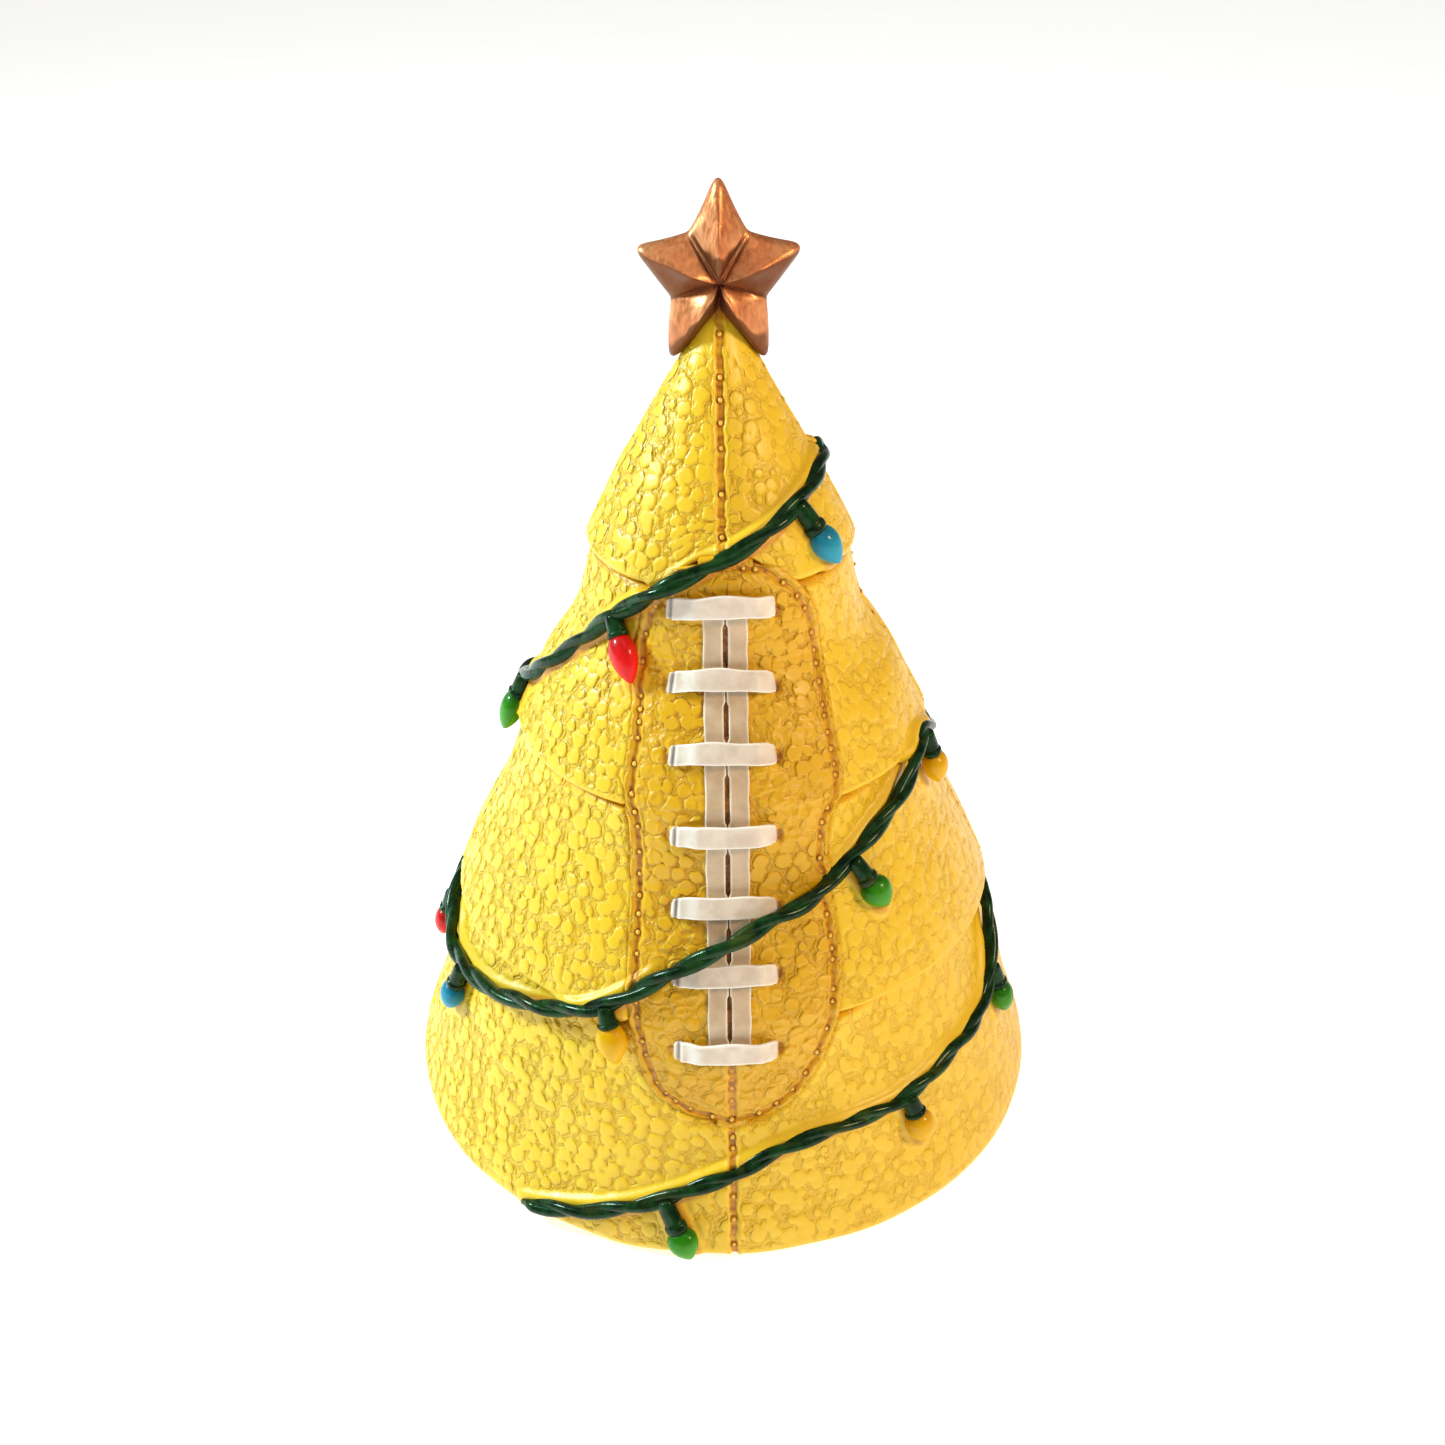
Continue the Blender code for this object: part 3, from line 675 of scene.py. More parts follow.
def panel_sheet(material):
    """The panel that the laces close: it runs over the tiers' lips, inside a stitched channel."""
    top, bottom = PANEL_EDGE[0][0] + PANEL_MARGIN, PANEL_EDGE[-1][0] - PANEL_MARGIN
    slants = np.interp([top, bottom], SLANT_HEIGHTS, SLANT)
    rows = int((slants[0] - slants[1]) / PANEL_STEP)
    heights = np.interp(np.linspace(slants[0], slants[1], rows), SLANT, SLANT_HEIGHTS)
    left, right = panel_sides(heights)
    left, right = left - PANEL_MARGIN, right + PANEL_MARGIN
    share = np.linspace(0.0, 1.0, PANEL_COLUMNS)[None, :]
    x = left[:, None] + (right - left)[:, None] * share
    height = np.repeat(heights[:, None], PANEL_COLUMNS, axis=1)

    distance, edge_way = panel_distance(x, height)
    flat = flat_place(x, height)
    radius = cover_radius(height)
    nearest, second, _ = pebbles(
        flat[..., 0] / (2 * math.pi * radius) + 0.5, flat[..., 1] - flat[..., 1].min(), radius,
        lambda way: np.full_like(way, 35.0), 5,
    )
    out, up = cover_normal(height)
    base = np.stack([x, -np.sqrt(radius**2 - x**2), height], axis=-1)
    nearest = nearest + PEBBLE_SCALLOP * ripple(base, 0.8, 25)
    rise = grain_rise(nearest, second)
    patches = smoothstep(-0.5, 0.6, ripple(base, 5.0, 71))
    rims = bell(nearest - PEBBLE_RADIUS, 0.16) * smoothstep(-0.2, 0.6, ripple(base, 1.7, 72))
    wrinkles = bell(ripple(base, 1.6, 73), 0.28)
    grain = PEBBLE_RISE * (0.8 + 0.5 * patches) * (rise - 0.5) + 0.16 * rims + 0.2 * wrinkles * (1 - patches)

    seam_width = np.where(x < 0, *PANEL_SEAM_WIDTHS)
    cut, wash, quiet = seam_shape(distance, edge_way, 0.4, seam_width)
    strips = strip_edges(height)
    beside = np.minimum(np.abs(x - strips[0]), np.abs(x - strips[3]))
    in_span = smoothstep(STRIP_SPAN[1] + 1.0, STRIP_SPAN[1], height) * smoothstep(
        STRIP_SPAN[0] - 1.0, STRIP_SPAN[0], height
    )
    # painted shade: a darker line beside the strips' outer edges
    wash = np.maximum(wash, 0.22 * bell(beside - 0.1, 0.45) * in_span)
    slot = bell(x - SLOT_X, 0.55)
    # painted shade in the slit between the two strips
    wash = np.maximum(wash, 1.15 * slot * in_span)
    dimple = np.zeros_like(x)
    for bar_height in BAR_HEIGHTS:
        for side in (-1, 1):
            end_x = BAR_X + side * (BAR_LENGTH / 2 + 0.25)
            bar_radius = cover_radius(bar_height)
            bar_height -= BAR_DROOP * (bar_radius - math.sqrt(bar_radius**2 - end_x**2) - LEVEL_SAG)
            apart = np.hypot((x - end_x) / 0.75, (height - bar_height) / 1.35)
            dimple = np.maximum(dimple, smoothstep(1.15, 0.35, apart) * (0.75 + 0.25 * side))
    # painted shade in the dimples where the bar ends tuck in
    wash = np.maximum(wash, 0.75 * dimple)
    centre_seam = smoothstep(STRIP_SPAN[0] + 1, STRIP_SPAN[0] - 1, height) * (distance < 0)
    seam_cut, seam_stain, seam_calm = seam_shape(x - 0.6, height, 2.2)
    cut = cut + seam_cut * centre_seam
    wash = np.maximum(wash, seam_stain * centre_seam)
    quiet = np.maximum(quiet, seam_calm * centre_seam)
    # the string and bulbs bring their painted shadow and shade onto the panel as well
    swell, light_wash, light_quiet = near_lights(base)
    wash = np.maximum.reduce([wash, light_wash, bead_rings(base)])
    quiet = np.maximum(quiet, light_quiet)

    crowned = 0.25 * smoothstep(0.0, -3.0, distance)
    relief = grain * (1 - quiet) + cut + swell - 0.5 * dimple + crowned + 0.1
    relief -= 0.14 * bell(height - 69.2, 0.5) * (distance < -SEAM_WIDTH)
    relief -= 1.9 * smoothstep(PANEL_MARGIN * 0.55, PANEL_MARGIN, distance)
    relief += 0.12 * ripple(base, 9.0, 33)

    turn_out = np.stack([x / radius * out, base[..., 1] / radius * out, up], axis=-1)
    front = base + turn_out * relief[..., None]
    back_columns = 8
    back_share = np.linspace(1.0, 0.0, back_columns + 2)[1:-1][None, :]
    back_x = left[:, None] + (right - left)[:, None] * back_share
    back_radius = cover_radius(heights)[:, None] - PANEL_BACK - 2.0
    back_height = np.repeat(heights[:, None], back_columns, axis=1)
    back = np.stack([back_x, -np.sqrt(back_radius**2 - back_x**2), back_height], axis=-1)
    places = np.concatenate([front, back], axis=1)
    faces = tube_faces(rows, PANEL_COLUMNS + back_columns)

    def padded(values, rest):
        return np.concatenate([values, np.full((rows, back_columns), rest)], axis=1)

    piece = new_mesh(
        "laced_panel", places, faces, material,
        rise=padded(1 - (1 - rise) * (1 - quiet) * (0.35 + 0.4 * patches), 1.0), wash=padded(wash, 0.0),
        reach=padded(nearest, 0.0), grain=padded((0.6 + 0.6 * patches) * (1 - quiet), 0.0),
    )
    return place_piece(piece, "yellow_leather")


# --- stitches ---


def bead_shape(sides=10, rings=6):
    """A ball of radius 1 about the origin: its places and faces."""
    tilt = np.linspace(0.0, math.pi, rings + 1)[1:-1, None]
    turn = np.linspace(0.0, 2 * math.pi, sides, endpoint=False)
    ring = np.stack(
        [np.sin(tilt) * np.cos(turn), np.sin(tilt) * np.sin(turn), np.cos(tilt) + 0.0 * turn], axis=-1
    ).reshape(-1, 3)
    return np.vstack([ring, [[0, 0, 1], [0, 0, -1]]]), ball_faces(rings - 1, sides)


def stitch_spots():
    """(azimuth, height, size) of every bead: round the panel's edge, then down each seam."""
    rng = np.random.default_rng(8)
    spots = []
    way = 1.0
    loop_length = lengths_along(PANEL_LOOP)[-1]
    slants = -PANEL_LOOP[:, 1]
    heights = np.interp(slants, SLANT, SLANT_HEIGHTS)
    marks = lengths_along(PANEL_LOOP)
    while way < loop_length - 1.5:
        height = float(np.interp(way, marks, heights))
        round_way = float(np.interp(way, marks, PANEL_LOOP[:, 0]))
        spots.append((math.degrees(round_way / cover_radius(height)), height, rng.uniform(0.8, 1.1)))
        way += rng.choice([1.9, 2.6, 3.6, 4.6]) * rng.uniform(0.85, 1.15)
    for height in UPPER_BEADS:
        spots.append((0.0, height, 1.0))
    for height in LOWER_BEADS:
        spots.append((LOWER_SEAM, height, rng.uniform(0.85, 1.15)))
    for seam in SIDE_SEAMS:
        height = TOP_BEAD
        while height > 2.5:
            near_lip = any(lip - 1.6 < height < lip + 1.9 for lip, _ in LIPS)
            if not near_lip:
                spots.append((seam, height, rng.uniform(0.85, 1.1)))
            height -= rng.choice([2.2, 3.2, 4.4]) * rng.uniform(0.85, 1.15)
    return spots


def bead_place(azimuth, height):
    """Where a bead's middle lies: on the cover at the front, and on the tiers' own leather elsewhere."""
    sunk = 0.0 if abs(azimuth) < 60.0 else float(cover_radius(height) - tier_radius(height))
    return on_tree(azimuth, height, -sunk)


BEAD_SPOTS = stitch_spots()
BEAD_PLACES = np.array([bead_place(azimuth, height) for azimuth, height, _ in BEAD_SPOTS])


# --- the laces ---


def slit_share(height):
    """1 where the two strips part to show the seam between them, 0 where they meet."""
    total = np.zeros_like(height)
    for above, below in zip(BAR_HEIGHTS[:-1], BAR_HEIGHTS[1:]):
        top = above - BAR_WIDTH / 2 - 0.9
        bottom = below + BAR_WIDTH / 2 + 0.4
        opened = smoothstep(top + 0.25, top - 0.35, height) * smoothstep(bottom - 0.25, bottom + 0.35, height)
        total = np.maximum(total, opened)
    return total


def strip_edges(height):
    """The x of the two strips' edges, from the left: outer, inner, inner, outer."""
    slit = 0.06 + SLIT_HALF_WIDTH * slit_share(height)
    wobble = 0.06 * np.sin(height * 0.9)
    outer = 0.4 + STRIP_WIDTH
    return SLOT_X - outer + wobble, SLOT_X - slit, SLOT_X + slit, SLOT_X + outer + 0.05 * np.sin(height * 1.3)


def ribbon_section(sides):
    """A flat band's cross-section: (across from -1 to 1, up from 0 to 1), with its edges a little raised."""
    turn = np.linspace(0.0, 2 * math.pi, sides, endpoint=False)
    across = np.sign(np.cos(turn)) * np.abs(np.cos(turn)) ** 0.4
    up = 0.5 + 0.5 * np.sign(np.sin(turn)) * np.abs(np.sin(turn)) ** 0.55
    return across, up + 0.22 * np.abs(across) ** 4 * (up > 0.5) - 0.08 * (up > 0.5)


def ribbon(name, middles, across, outs, half_width, thickness, hollow, material, sides=22):
    """A closed band along its middles; across and outs are unit directions, and one number per middle gives
    its painted shade.
    """
    section_across, section_up = ribbon_section(sides)
    places = (
        middles[:, None, :]
        + across[:, None, :] * (half_width[:, None] * section_across[None, :])[..., None]
        + outs[:, None, :] * (thickness[:, None] * section_up[None, :])[..., None]
    )
    rows = len(middles)
    # painted highlight: the band's raised top edges are marked for whiter paint
    edge = np.broadcast_to(np.abs(section_across) ** 6 * (section_up > 0.4), (rows, sides))
    dirt = np.repeat(hollow[:, None], sides, axis=1)
    return new_mesh(name, places, tube_faces(rows, sides), material, edge=edge, hollow=dirt)


def unit(vectors):
    return vectors / np.linalg.norm(vectors, axis=-1, keepdims=True)


def surface_frame(x, height):
    """Places on the panel's cover, with their unit normals and the unit way down."""
    radius = cover_radius(height)
    out, up = cover_normal(height)
    y = -np.sqrt(radius**2 - x**2)
    place = np.stack([x, y, height + 0.0 * x], axis=-1)
    normal = np.stack([x / radius * out, y / radius * out, up + 0.0 * x], axis=-1)
    down = np.stack([x / radius * up, y / radius * up, -out + 0.0 * x], axis=-1)
    return place, normal, down


def lace_bar(number, height, material):
    """A cross bar: it arches over the strips, and its ends turn down into holes behind a small lip."""
    rng = np.random.default_rng(100 + number)
    share = np.linspace(-1.0, 1.0, 61)
    share = np.sign(share) * np.abs(share) ** 0.85
    x = BAR_X + share * BAR_LENGTH / 2
    tilt = rng.uniform(-0.15, 0.15)
    radius = cover_radius(height)
    fallen = radius - np.sqrt(radius**2 - x**2)
    wander = 0.06 * np.sin(share * 5 + number)
    middle_height = height + tilt * share + wander - BAR_DROOP * (fallen - LEVEL_SAG)
    from_end = (1 - np.abs(share)) * BAR_LENGTH / 2
    over_strips = smoothstep(6.6, 3.9, np.abs(x - SLOT_X))
    lift = 0.15 + 0.45 * smoothstep(0.3, 1.6, from_end) + (BAR_ARCH - 0.1) * over_strips
    lift -= 0.55 * bell(from_end - 1.0, 0.3) * (share < 0) + 0.7 * smoothstep(0.35, 0.0, from_end)
    narrowed = 0.5 * smoothstep(0.6, 0.0, from_end)
    half_width = BAR_WIDTH / 2 * (1 - narrowed + 0.04 * np.sin(share * 7 + number))
    half_width *= 1 - 0.1 * bell(from_end - 0.75, 0.3) + 0.06 * bell(share, 0.35)
    place, normal, down = surface_frame(x, middle_height)
    place = place + normal * lift[:, None]
    thickness = LACE_THICKNESS * (0.75 + 0.25 * smoothstep(0.0, 1.0, from_end))
    # painted shade in the hole behind the lip at the bar's left end, and at its right end's tip
    hollow = bell(from_end - 1.0, 0.3) * (share < 0) + 0.5 * smoothstep(0.35, 0.0, from_end) * (share > 0)
    piece = ribbon(f"lace_bar_{number}_ribbon", place, down, normal, half_width, thickness, hollow, material)
    return place_piece(piece, "white_lace", f"lace_bar_{number}")


def lace_strip(side, material):
    """One of the two strips that run down under the bars, with its inner edge opening at each slit."""
    height = np.linspace(STRIP_SPAN[1], STRIP_SPAN[0], 260)
    edges = strip_edges(height)
    start, stop = edges[:2] if side == "left" else edges[2:]
    middle = (start + stop) / 2
    place, normal, down = surface_frame(middle, height)
    across = unit(np.cross(normal, down))
    place = place + normal * 0.12
    thickness = np.full(len(height), LACE_THICKNESS * 0.85)
    half_width = (stop - start) / 2
    piece = ribbon(
        f"lace_strip_{side}_ribbon", place, -across, normal, half_width, thickness, 0.0 * height, material
    )
    return place_piece(piece, "white_lace", f"lace_strip_{side}")


# --- the light string ---


def twisted_string(material):
    """Two strands wound round each other along the route."""
    azimuth, height, lift = ROUTE.T
    middle = on_tree(azimuth, height, lift)
    forward = unit(np.gradient(middle, axis=0))
    turn = np.radians(azimuth)
    radial = np.stack([np.sin(turn), -np.cos(turn), 0.45 + 0 * turn], axis=-1)
    outward = unit(radial - forward * np.sum(radial * forward, axis=1, keepdims=True))
    sideways = np.cross(forward, outward)
    along = lengths_along(middle)
    ends = smoothstep(0.0, 2.5, along) * smoothstep(0.0, 2.5, along[-1] - along)
    rows = len(along)
    sides = np.linspace(0.0, 2 * math.pi, STRAND_SIDES, endpoint=False)
    ring = np.cos(sides)[:, None] * outward[:, None, :] + np.sin(sides)[:, None] * sideways[:, None, :]
    all_places, faces = [], []
    for strand in range(2):
        drift = 0.5 * np.sin(along / 23.0 + strand) + 0.3 * np.sin(along / 7.1 + 2 * strand)
        phase = 2 * math.pi * along / STRAND_PITCH + math.pi * strand + drift
        centre = middle + STRAND_OFFSET * (
            np.cos(phase)[:, None] * outward * 0.8 + np.sin(phase)[:, None] * sideways
        ) * ends[:, None]
        thick = STRAND_RADIUS * (0.55 + 0.45 * ends) * (1 + 0.07 * np.sin(along / 3.3 + 3 * strand))
        places = centre[:, None, :] + ring * thick[:, None, None]
        all_places.append(places.reshape(-1, 3))
        faces += tube_faces(rows, STRAND_SIDES, strand * rows * STRAND_SIDES)
    piece = new_mesh("twisted_string", np.vstack(all_places), faces, material)
    return place_piece(piece, "green_string", "light_string")


def hanging_piece(name, profile, stretch, start, direction, flatness, seed, material):
    """A piece round the axis it hangs on, stretched below its top, flattened and a little uneven."""
    curve = smooth_through(profile, 4)
    depth, radius = curve.T
    depth = np.where(depth > 0.0, depth * stretch, depth)
    outline = np.vstack([[depth[0], 0.02], np.column_stack([depth, np.abs(radius)]), [depth[-1], 0.02]])
    side = unit(np.cross([start[0], start[1], 0.0], direction))
    outward = np.cross(direction, side)
    turn = np.linspace(0.0, 2 * math.pi, HANGING_SIDES, endpoint=False)
    round_way = np.cos(turn)[None, :, None] * side + flatness * np.sin(turn)[None, :, None] * outward
    uneven = 1 + 0.03 * np.sin(2 * turn + seed)[None, :, None]
    places = start + outline[:, :1, None] * direction + outline[:, 1:, None] * uneven * round_way
    rows = len(outline)
    faces = [face[::-1] for face in tube_faces(rows, HANGING_SIDES)]
    depth_share = (outline[:, 0] - outline[0, 0]) / (outline[-1, 0] - outline[0, 0])
    values = np.repeat(depth_share[:, None], HANGING_SIDES, axis=1)
    return new_mesh(name, places, faces, material, depth=values)


def hang_bulbs(green, glosses):
    """Each bulb and its socket, on the axis they hang along."""
    for number, (bulb, (start, direction)) in enumerate(zip(BULBS, HANGING), start=1):
        colour, bulb_reach, bulb_length = bulb[2:]
        socket_length = bulb_reach - SOCKET_START
        socket = hanging_piece(
            f"socket_{number:02d}_moulding", SOCKET_PROFILE, socket_length / SOCKET_LENGTH, start, direction,
            SOCKET_FLATNESS, number, green,
        )
        place_piece(socket, "green_string", f"socket_{number:02d}")
        bulb_start = start + direction * (socket_length + GAP / 2)
        name = f"bulb_{number:02d}_{colour}"
        gloss = hanging_piece(
            f"{name}_gloss", BULB_PROFILE, bulb_length / BULB_LENGTH, bulb_start, direction,
            BULB_FLATNESS, 2 * number, glosses[colour],
        )
        place_piece(gloss, f"bulb_{colour}", name)


# --- the star ---


def star_outline(angles):
    """The star's radius at each angle from straight up: concave sides, rounded tips and valleys."""
    corners = sorted(STAR_TIPS + STAR_VALLEYS)
    corners.append((corners[0][0] + 360.0, corners[0][1]))
    angle, radius = np.array(corners).T
    points = np.stack([np.sin(np.radians(angle)), np.cos(np.radians(angle))], axis=-1) * radius[:, None]
    line = []
    for start, stop, bend_share in zip(points[:-1], points[1:], STAR_BENDS):
        bend = (start + stop) / 2 * bend_share
        for share in np.linspace(0.0, 1.0, 20, endpoint=False):
            line.append((1 - share) ** 2 * start + 2 * share * (1 - share) * bend + share**2 * stop)
    line = np.array(line)
    line_angles = np.unwrap(np.arctan2(line[:, 0], line[:, 1]))
    radii = np.interp(angles, line_angles, np.linalg.norm(line, axis=1), period=2 * math.pi)
    reach = STAR_ROUNDING
    kernel = bell(np.arange(-reach, reach + 1), 4.2)
    wrapped = np.concatenate([radii[-reach:], radii, radii[:reach]])
    return np.convolve(wrapped, kernel / kernel.sum(), mode="valid")


def angle_apart(angles, target):
    return np.abs((angles - math.radians(target) + math.pi) % (2 * math.pi) - math.pi)


def star_face(angles, shares, outline):
    """Half the star's thickness over its face, and how much painted shade each place gets in its valleys,
    grooves and middle.
    """
    radius = shares[:, None] * outline[None, :]
    to_tip = np.min([angle_apart(angles, tip) for tip, _ in STAR_TIPS], axis=0)
    to_valley = np.min([angle_apart(angles, valley) for valley, _ in STAR_VALLEYS], axis=0)
    lean = (to_valley / (to_tip + to_valley))[None, :]
    ridge_share = 0.8 + 0.2 * smoothstep(0.0, 0.35, shares) - 0.42 * smoothstep(0.25, 1.0, shares)
    ridge = STAR_RIDGE * ridge_share[:, None]
    valley = STAR_VALLEY * (1.45 - 0.5 * smoothstep(0.0, 0.5, shares))[:, None]
    plump = (1 - shares**3.2)[:, None] ** 0.42
    height = (valley + (ridge - valley) * lean**0.85) * plump
    # painted shade along the valleys and grooves, and round the middle
    crease = np.zeros_like(height)
    for angle, _ in STAR_VALLEYS:
        across = angle_apart(angles, angle)[None, :] * radius
        fade = smoothstep(0.98, 0.85, shares)[:, None]
        if angle == 180.0:
            height -= 0.55 * bell(across, 0.4) * fade
            crease = np.maximum(crease, bell(across, 0.8) * fade)
        elif 100.0 < angle < 260.0:
            height -= 0.2 * bell(across, 0.4) * fade
            crease = np.maximum(crease, 0.5 * bell(across, 0.6) * fade)
        else:
            height += (0.08 * bell(across, 0.14) - 0.26 * bell(across - 0.34, 0.16)) * fade
            crease = np.maximum(crease, 0.75 * bell(across - 0.32, 0.22) * fade)
    crease = np.maximum(crease, smoothstep(1.6, 0.4, radius))
    return np.maximum(height, 0.0), crease


def sculpted_star(material):
    """A plump star with a ridge along each arm, seamed down its valleys, the same front and back."""
    angles = np.linspace(0.0, 2 * math.pi, STAR_ANGLES, endpoint=False)
    outline = star_outline(angles)
    shares = np.sin(np.linspace(0.0, math.pi / 2, STAR_RINGS + 1)[1:])
    height, crease = star_face(angles, shares, outline)
    centre_height = float(height[0].mean()) - 0.15
    radius = shares[:, None] * outline[None, :]
    x, z = radius * np.sin(angles), radius * np.cos(angles) + STAR_CENTRE
    dents = 0.08 * ripple(np.stack([x, height, z], axis=-1), 2.2, 55)
    height = height + dents * smoothstep(1.0, 0.9, shares)[:, None]
    front = np.stack([x, -height, z], axis=-1)
    back = np.stack([x, height, z], axis=-1)[:-1][::-1]
    rings = np.concatenate([front, back])
    centres = [[0, -centre_height, STAR_CENTRE], [0, centre_height, STAR_CENTRE]]
    places = np.vstack([rings.reshape(-1, 3), centres])
    facing = unit(np.cross(np.gradient(rings, axis=1), np.gradient(rings, axis=0)))[..., 2]
    creases = np.concatenate([crease, crease[:-1][::-1]]).ravel()
    # painted shade: faces that turn downwards are marked for darker paint, and the two middles a little
    under = np.append(smoothstep(0.12, -0.1, facing).ravel(), [0.3, 0.3])
    piece = new_mesh(
        "sculpted_star", places, ball_faces(len(rings), STAR_ANGLES), material,
        crease=np.append(creases, [1.0, 1.0]), under=under,
    )
    return place_piece(piece, "copper_paint", "star_topper")


# --- materials ---


class Look:
    """A procedural material: each method adds a node and gives back the socket that the next one takes."""

    def __init__(self, name, **constants):
        self.material = bpy.data.materials.new(name)
        self.material.use_nodes = True
        self.tree = self.material.node_tree
        self.shader = self.tree.nodes["Principled BSDF"]
        self.place = self.add("ShaderNodeTexCoord").outputs["Object"]
        for key, value in constants.items():
            self.shader.inputs[key.replace("_", " ")].default_value = value

    def add(self, kind, **settings):
        node = self.tree.nodes.new(kind)
        for key, value in settings.items():
            setattr(node, key, value)
        return node

    def feed(self, socket, value):
        if isinstance(value, bpy.types.NodeSocket):
            self.tree.links.new(value, socket)
        else:
            socket.default_value = (*value, 1.0) if isinstance(value, tuple) and len(value) == 3 else value

    def value(self, name):
        return self.add("ShaderNodeAttribute", attribute_name=name).outputs["Fac"]

    def noise(self, size_mm, detail=2.0, stretch=(1.0, 1.0, 1.0), roughness=0.5):
        mapping = self.add("ShaderNodeMapping")
        mapping.inputs["Scale"].default_value = stretch
        self.feed(mapping.inputs["Vector"], self.place)
        node = self.add("ShaderNodeTexNoise")
        node.inputs["Scale"].default_value = 1.0 / (size_mm * MM)
        node.inputs["Detail"].default_value = detail
        node.inputs["Roughness"].default_value = roughness
        self.feed(node.inputs["Vector"], mapping.outputs["Vector"])
        return node.outputs["Fac"]

    def cells(self, size_mm):
        node = self.add("ShaderNodeTexVoronoi", feature="SMOOTH_F1")
        node.inputs["Scale"].default_value = 1.0 / (size_mm * MM)
        node.inputs["Smoothness"].default_value = 0.35
        self.feed(node.inputs["Vector"], self.place)
        return node.outputs["Distance"]

    def maths(self, operation, *values):
        node = self.add("ShaderNodeMath", operation=operation)
        for socket, value in zip(node.inputs, values):
            self.feed(socket, value)
        return node.outputs[0]

    def between(self, value, low, high, to_low=0.0, to_high=1.0):
        node = self.add("ShaderNodeMapRange", interpolation_type="SMOOTHSTEP")
        for key, number in zip(("From Min", "From Max", "To Min", "To Max"), (low, high, to_low, to_high)):
            node.inputs[key].default_value = number
        self.feed(node.inputs["Value"], value)
        return node.outputs["Result"]

    def mix(self, share, low, high, blend="MIX"):
        node = self.add("ShaderNodeMix", data_type="RGBA", blend_type=blend)
        self.feed(node.inputs["Factor"], share)
        self.feed(node.inputs[6], low)
        self.feed(node.inputs[7], high)
        return node.outputs[2]

    def mottle(self, paint, over, size_mm, low=0.3, high=0.7, share=1.0, detail=3.0):
        """The second paint comes through the first in patches, up to this share."""
        return self.mix(self.between(self.noise(size_mm, detail), low, high, 0.0, share), paint, over)

    def uneven(self, size_mm, low, high, detail=2.0):
        """A number that wanders between low and high."""
        return self.between(self.noise(size_mm, detail), 0.3, 0.7, low, high)

    def bump(self, height, depth_mm, before=None):
        node = self.add("ShaderNodeBump")
        node.inputs["Distance"].default_value = depth_mm * MM
        self.feed(node.inputs["Height"], height)
        if before is not None:
            self.feed(node.inputs["Normal"], before)
        return node.outputs["Normal"]

    def finish(self, colour, roughness=None, normal=None):
        self.feed(self.shader.inputs["Base Color"], colour)
        if roughness is not None:
            self.feed(self.shader.inputs["Roughness"], roughness)
        if normal is not None:
            self.feed(self.shader.inputs["Normal"], normal)
        return self.material


def leather_look(name, low, high, fresh):
    """Yellow satin paint over cast leather grain, painted darker in its gaps as shade, with an orange-brown
    stain in the seams and painted shade and shadow by the string, bulbs, laces and tier necks.
    """
    look = Look(name, Coat_Weight=0.2, Coat_Roughness=0.34, Specular_IOR_Level=0.4)
    rise, wash, reach, grain = (look.value(name) for name in ("rise", "wash", "reach", "grain"))
    # painted shade: the grain's gaps take the darker low colour, the pebbles' tops the lighter high one
    paint = look.mix(look.between(rise, 0.0, 0.9), low, high)
    paint = look.mottle(paint, fresh, 7.0, 0.35, 0.7, 0.3)
    # this carries the seams' brown stain together with the painted shade and shadow; it darkens the paint to
    # orange-brown, then dark brown
    grime = look.maths("MULTIPLY", wash, look.between(look.noise(0.8, 3.0), 0.2, 0.7, 0.75, 1.15))
    paint = look.mix(look.between(grime, 0.02, 0.5), paint, (0.60, 0.25, 0.006))
    paint = look.mix(look.between(grime, 0.4, 1.0), paint, (0.22, 0.075, 0.006))
    edge = look.between(reach, PEBBLE_RADIUS - 0.12, PEBBLE_RADIUS + 0.14, 1.0, 0.0)
    from_halo = look.maths("ABSOLUTE", look.maths("SUBTRACT", reach, PEBBLE_RADIUS + 0.42))
    halo = look.between(from_halo, 0.05, 0.2, 0.7, 0.0)
    beads = look.between(look.cells(0.8), 0.22, 0.6, 0.8, 0.0)
    gap = look.maths("SUBTRACT", 1.0, edge)
    shape = look.maths("ADD", edge, look.maths("MULTIPLY", gap, look.maths("MAXIMUM", halo, beads)))
    normal = look.bump(look.maths("MULTIPLY", shape, grain), GRAIN_BUMP)
    normal = look.bump(look.noise(0.4, 2.0), 0.02, normal)
    return look.finish(paint, look.uneven(1.5, 0.34, 0.5, 3.0), normal)


def bead_look():
    """A cast stitch: the same yellow in paler and deeper patches, with painted shade where it meets the
    leather.
    """
    look = Look("stitch_paint", Coat_Weight=0.2, Coat_Roughness=0.25)
    paint = look.mottle((0.78, 0.46, 0.02), (0.86, 0.58, 0.06), 0.6, detail=2.0)
    # painted shade round the bead where it sits in the leather
    paint = look.mix(look.value("foot"), paint, (0.35, 0.13, 0.01))
    return look.finish(paint, 0.42, look.bump(look.noise(0.25, 2.0), 0.02))


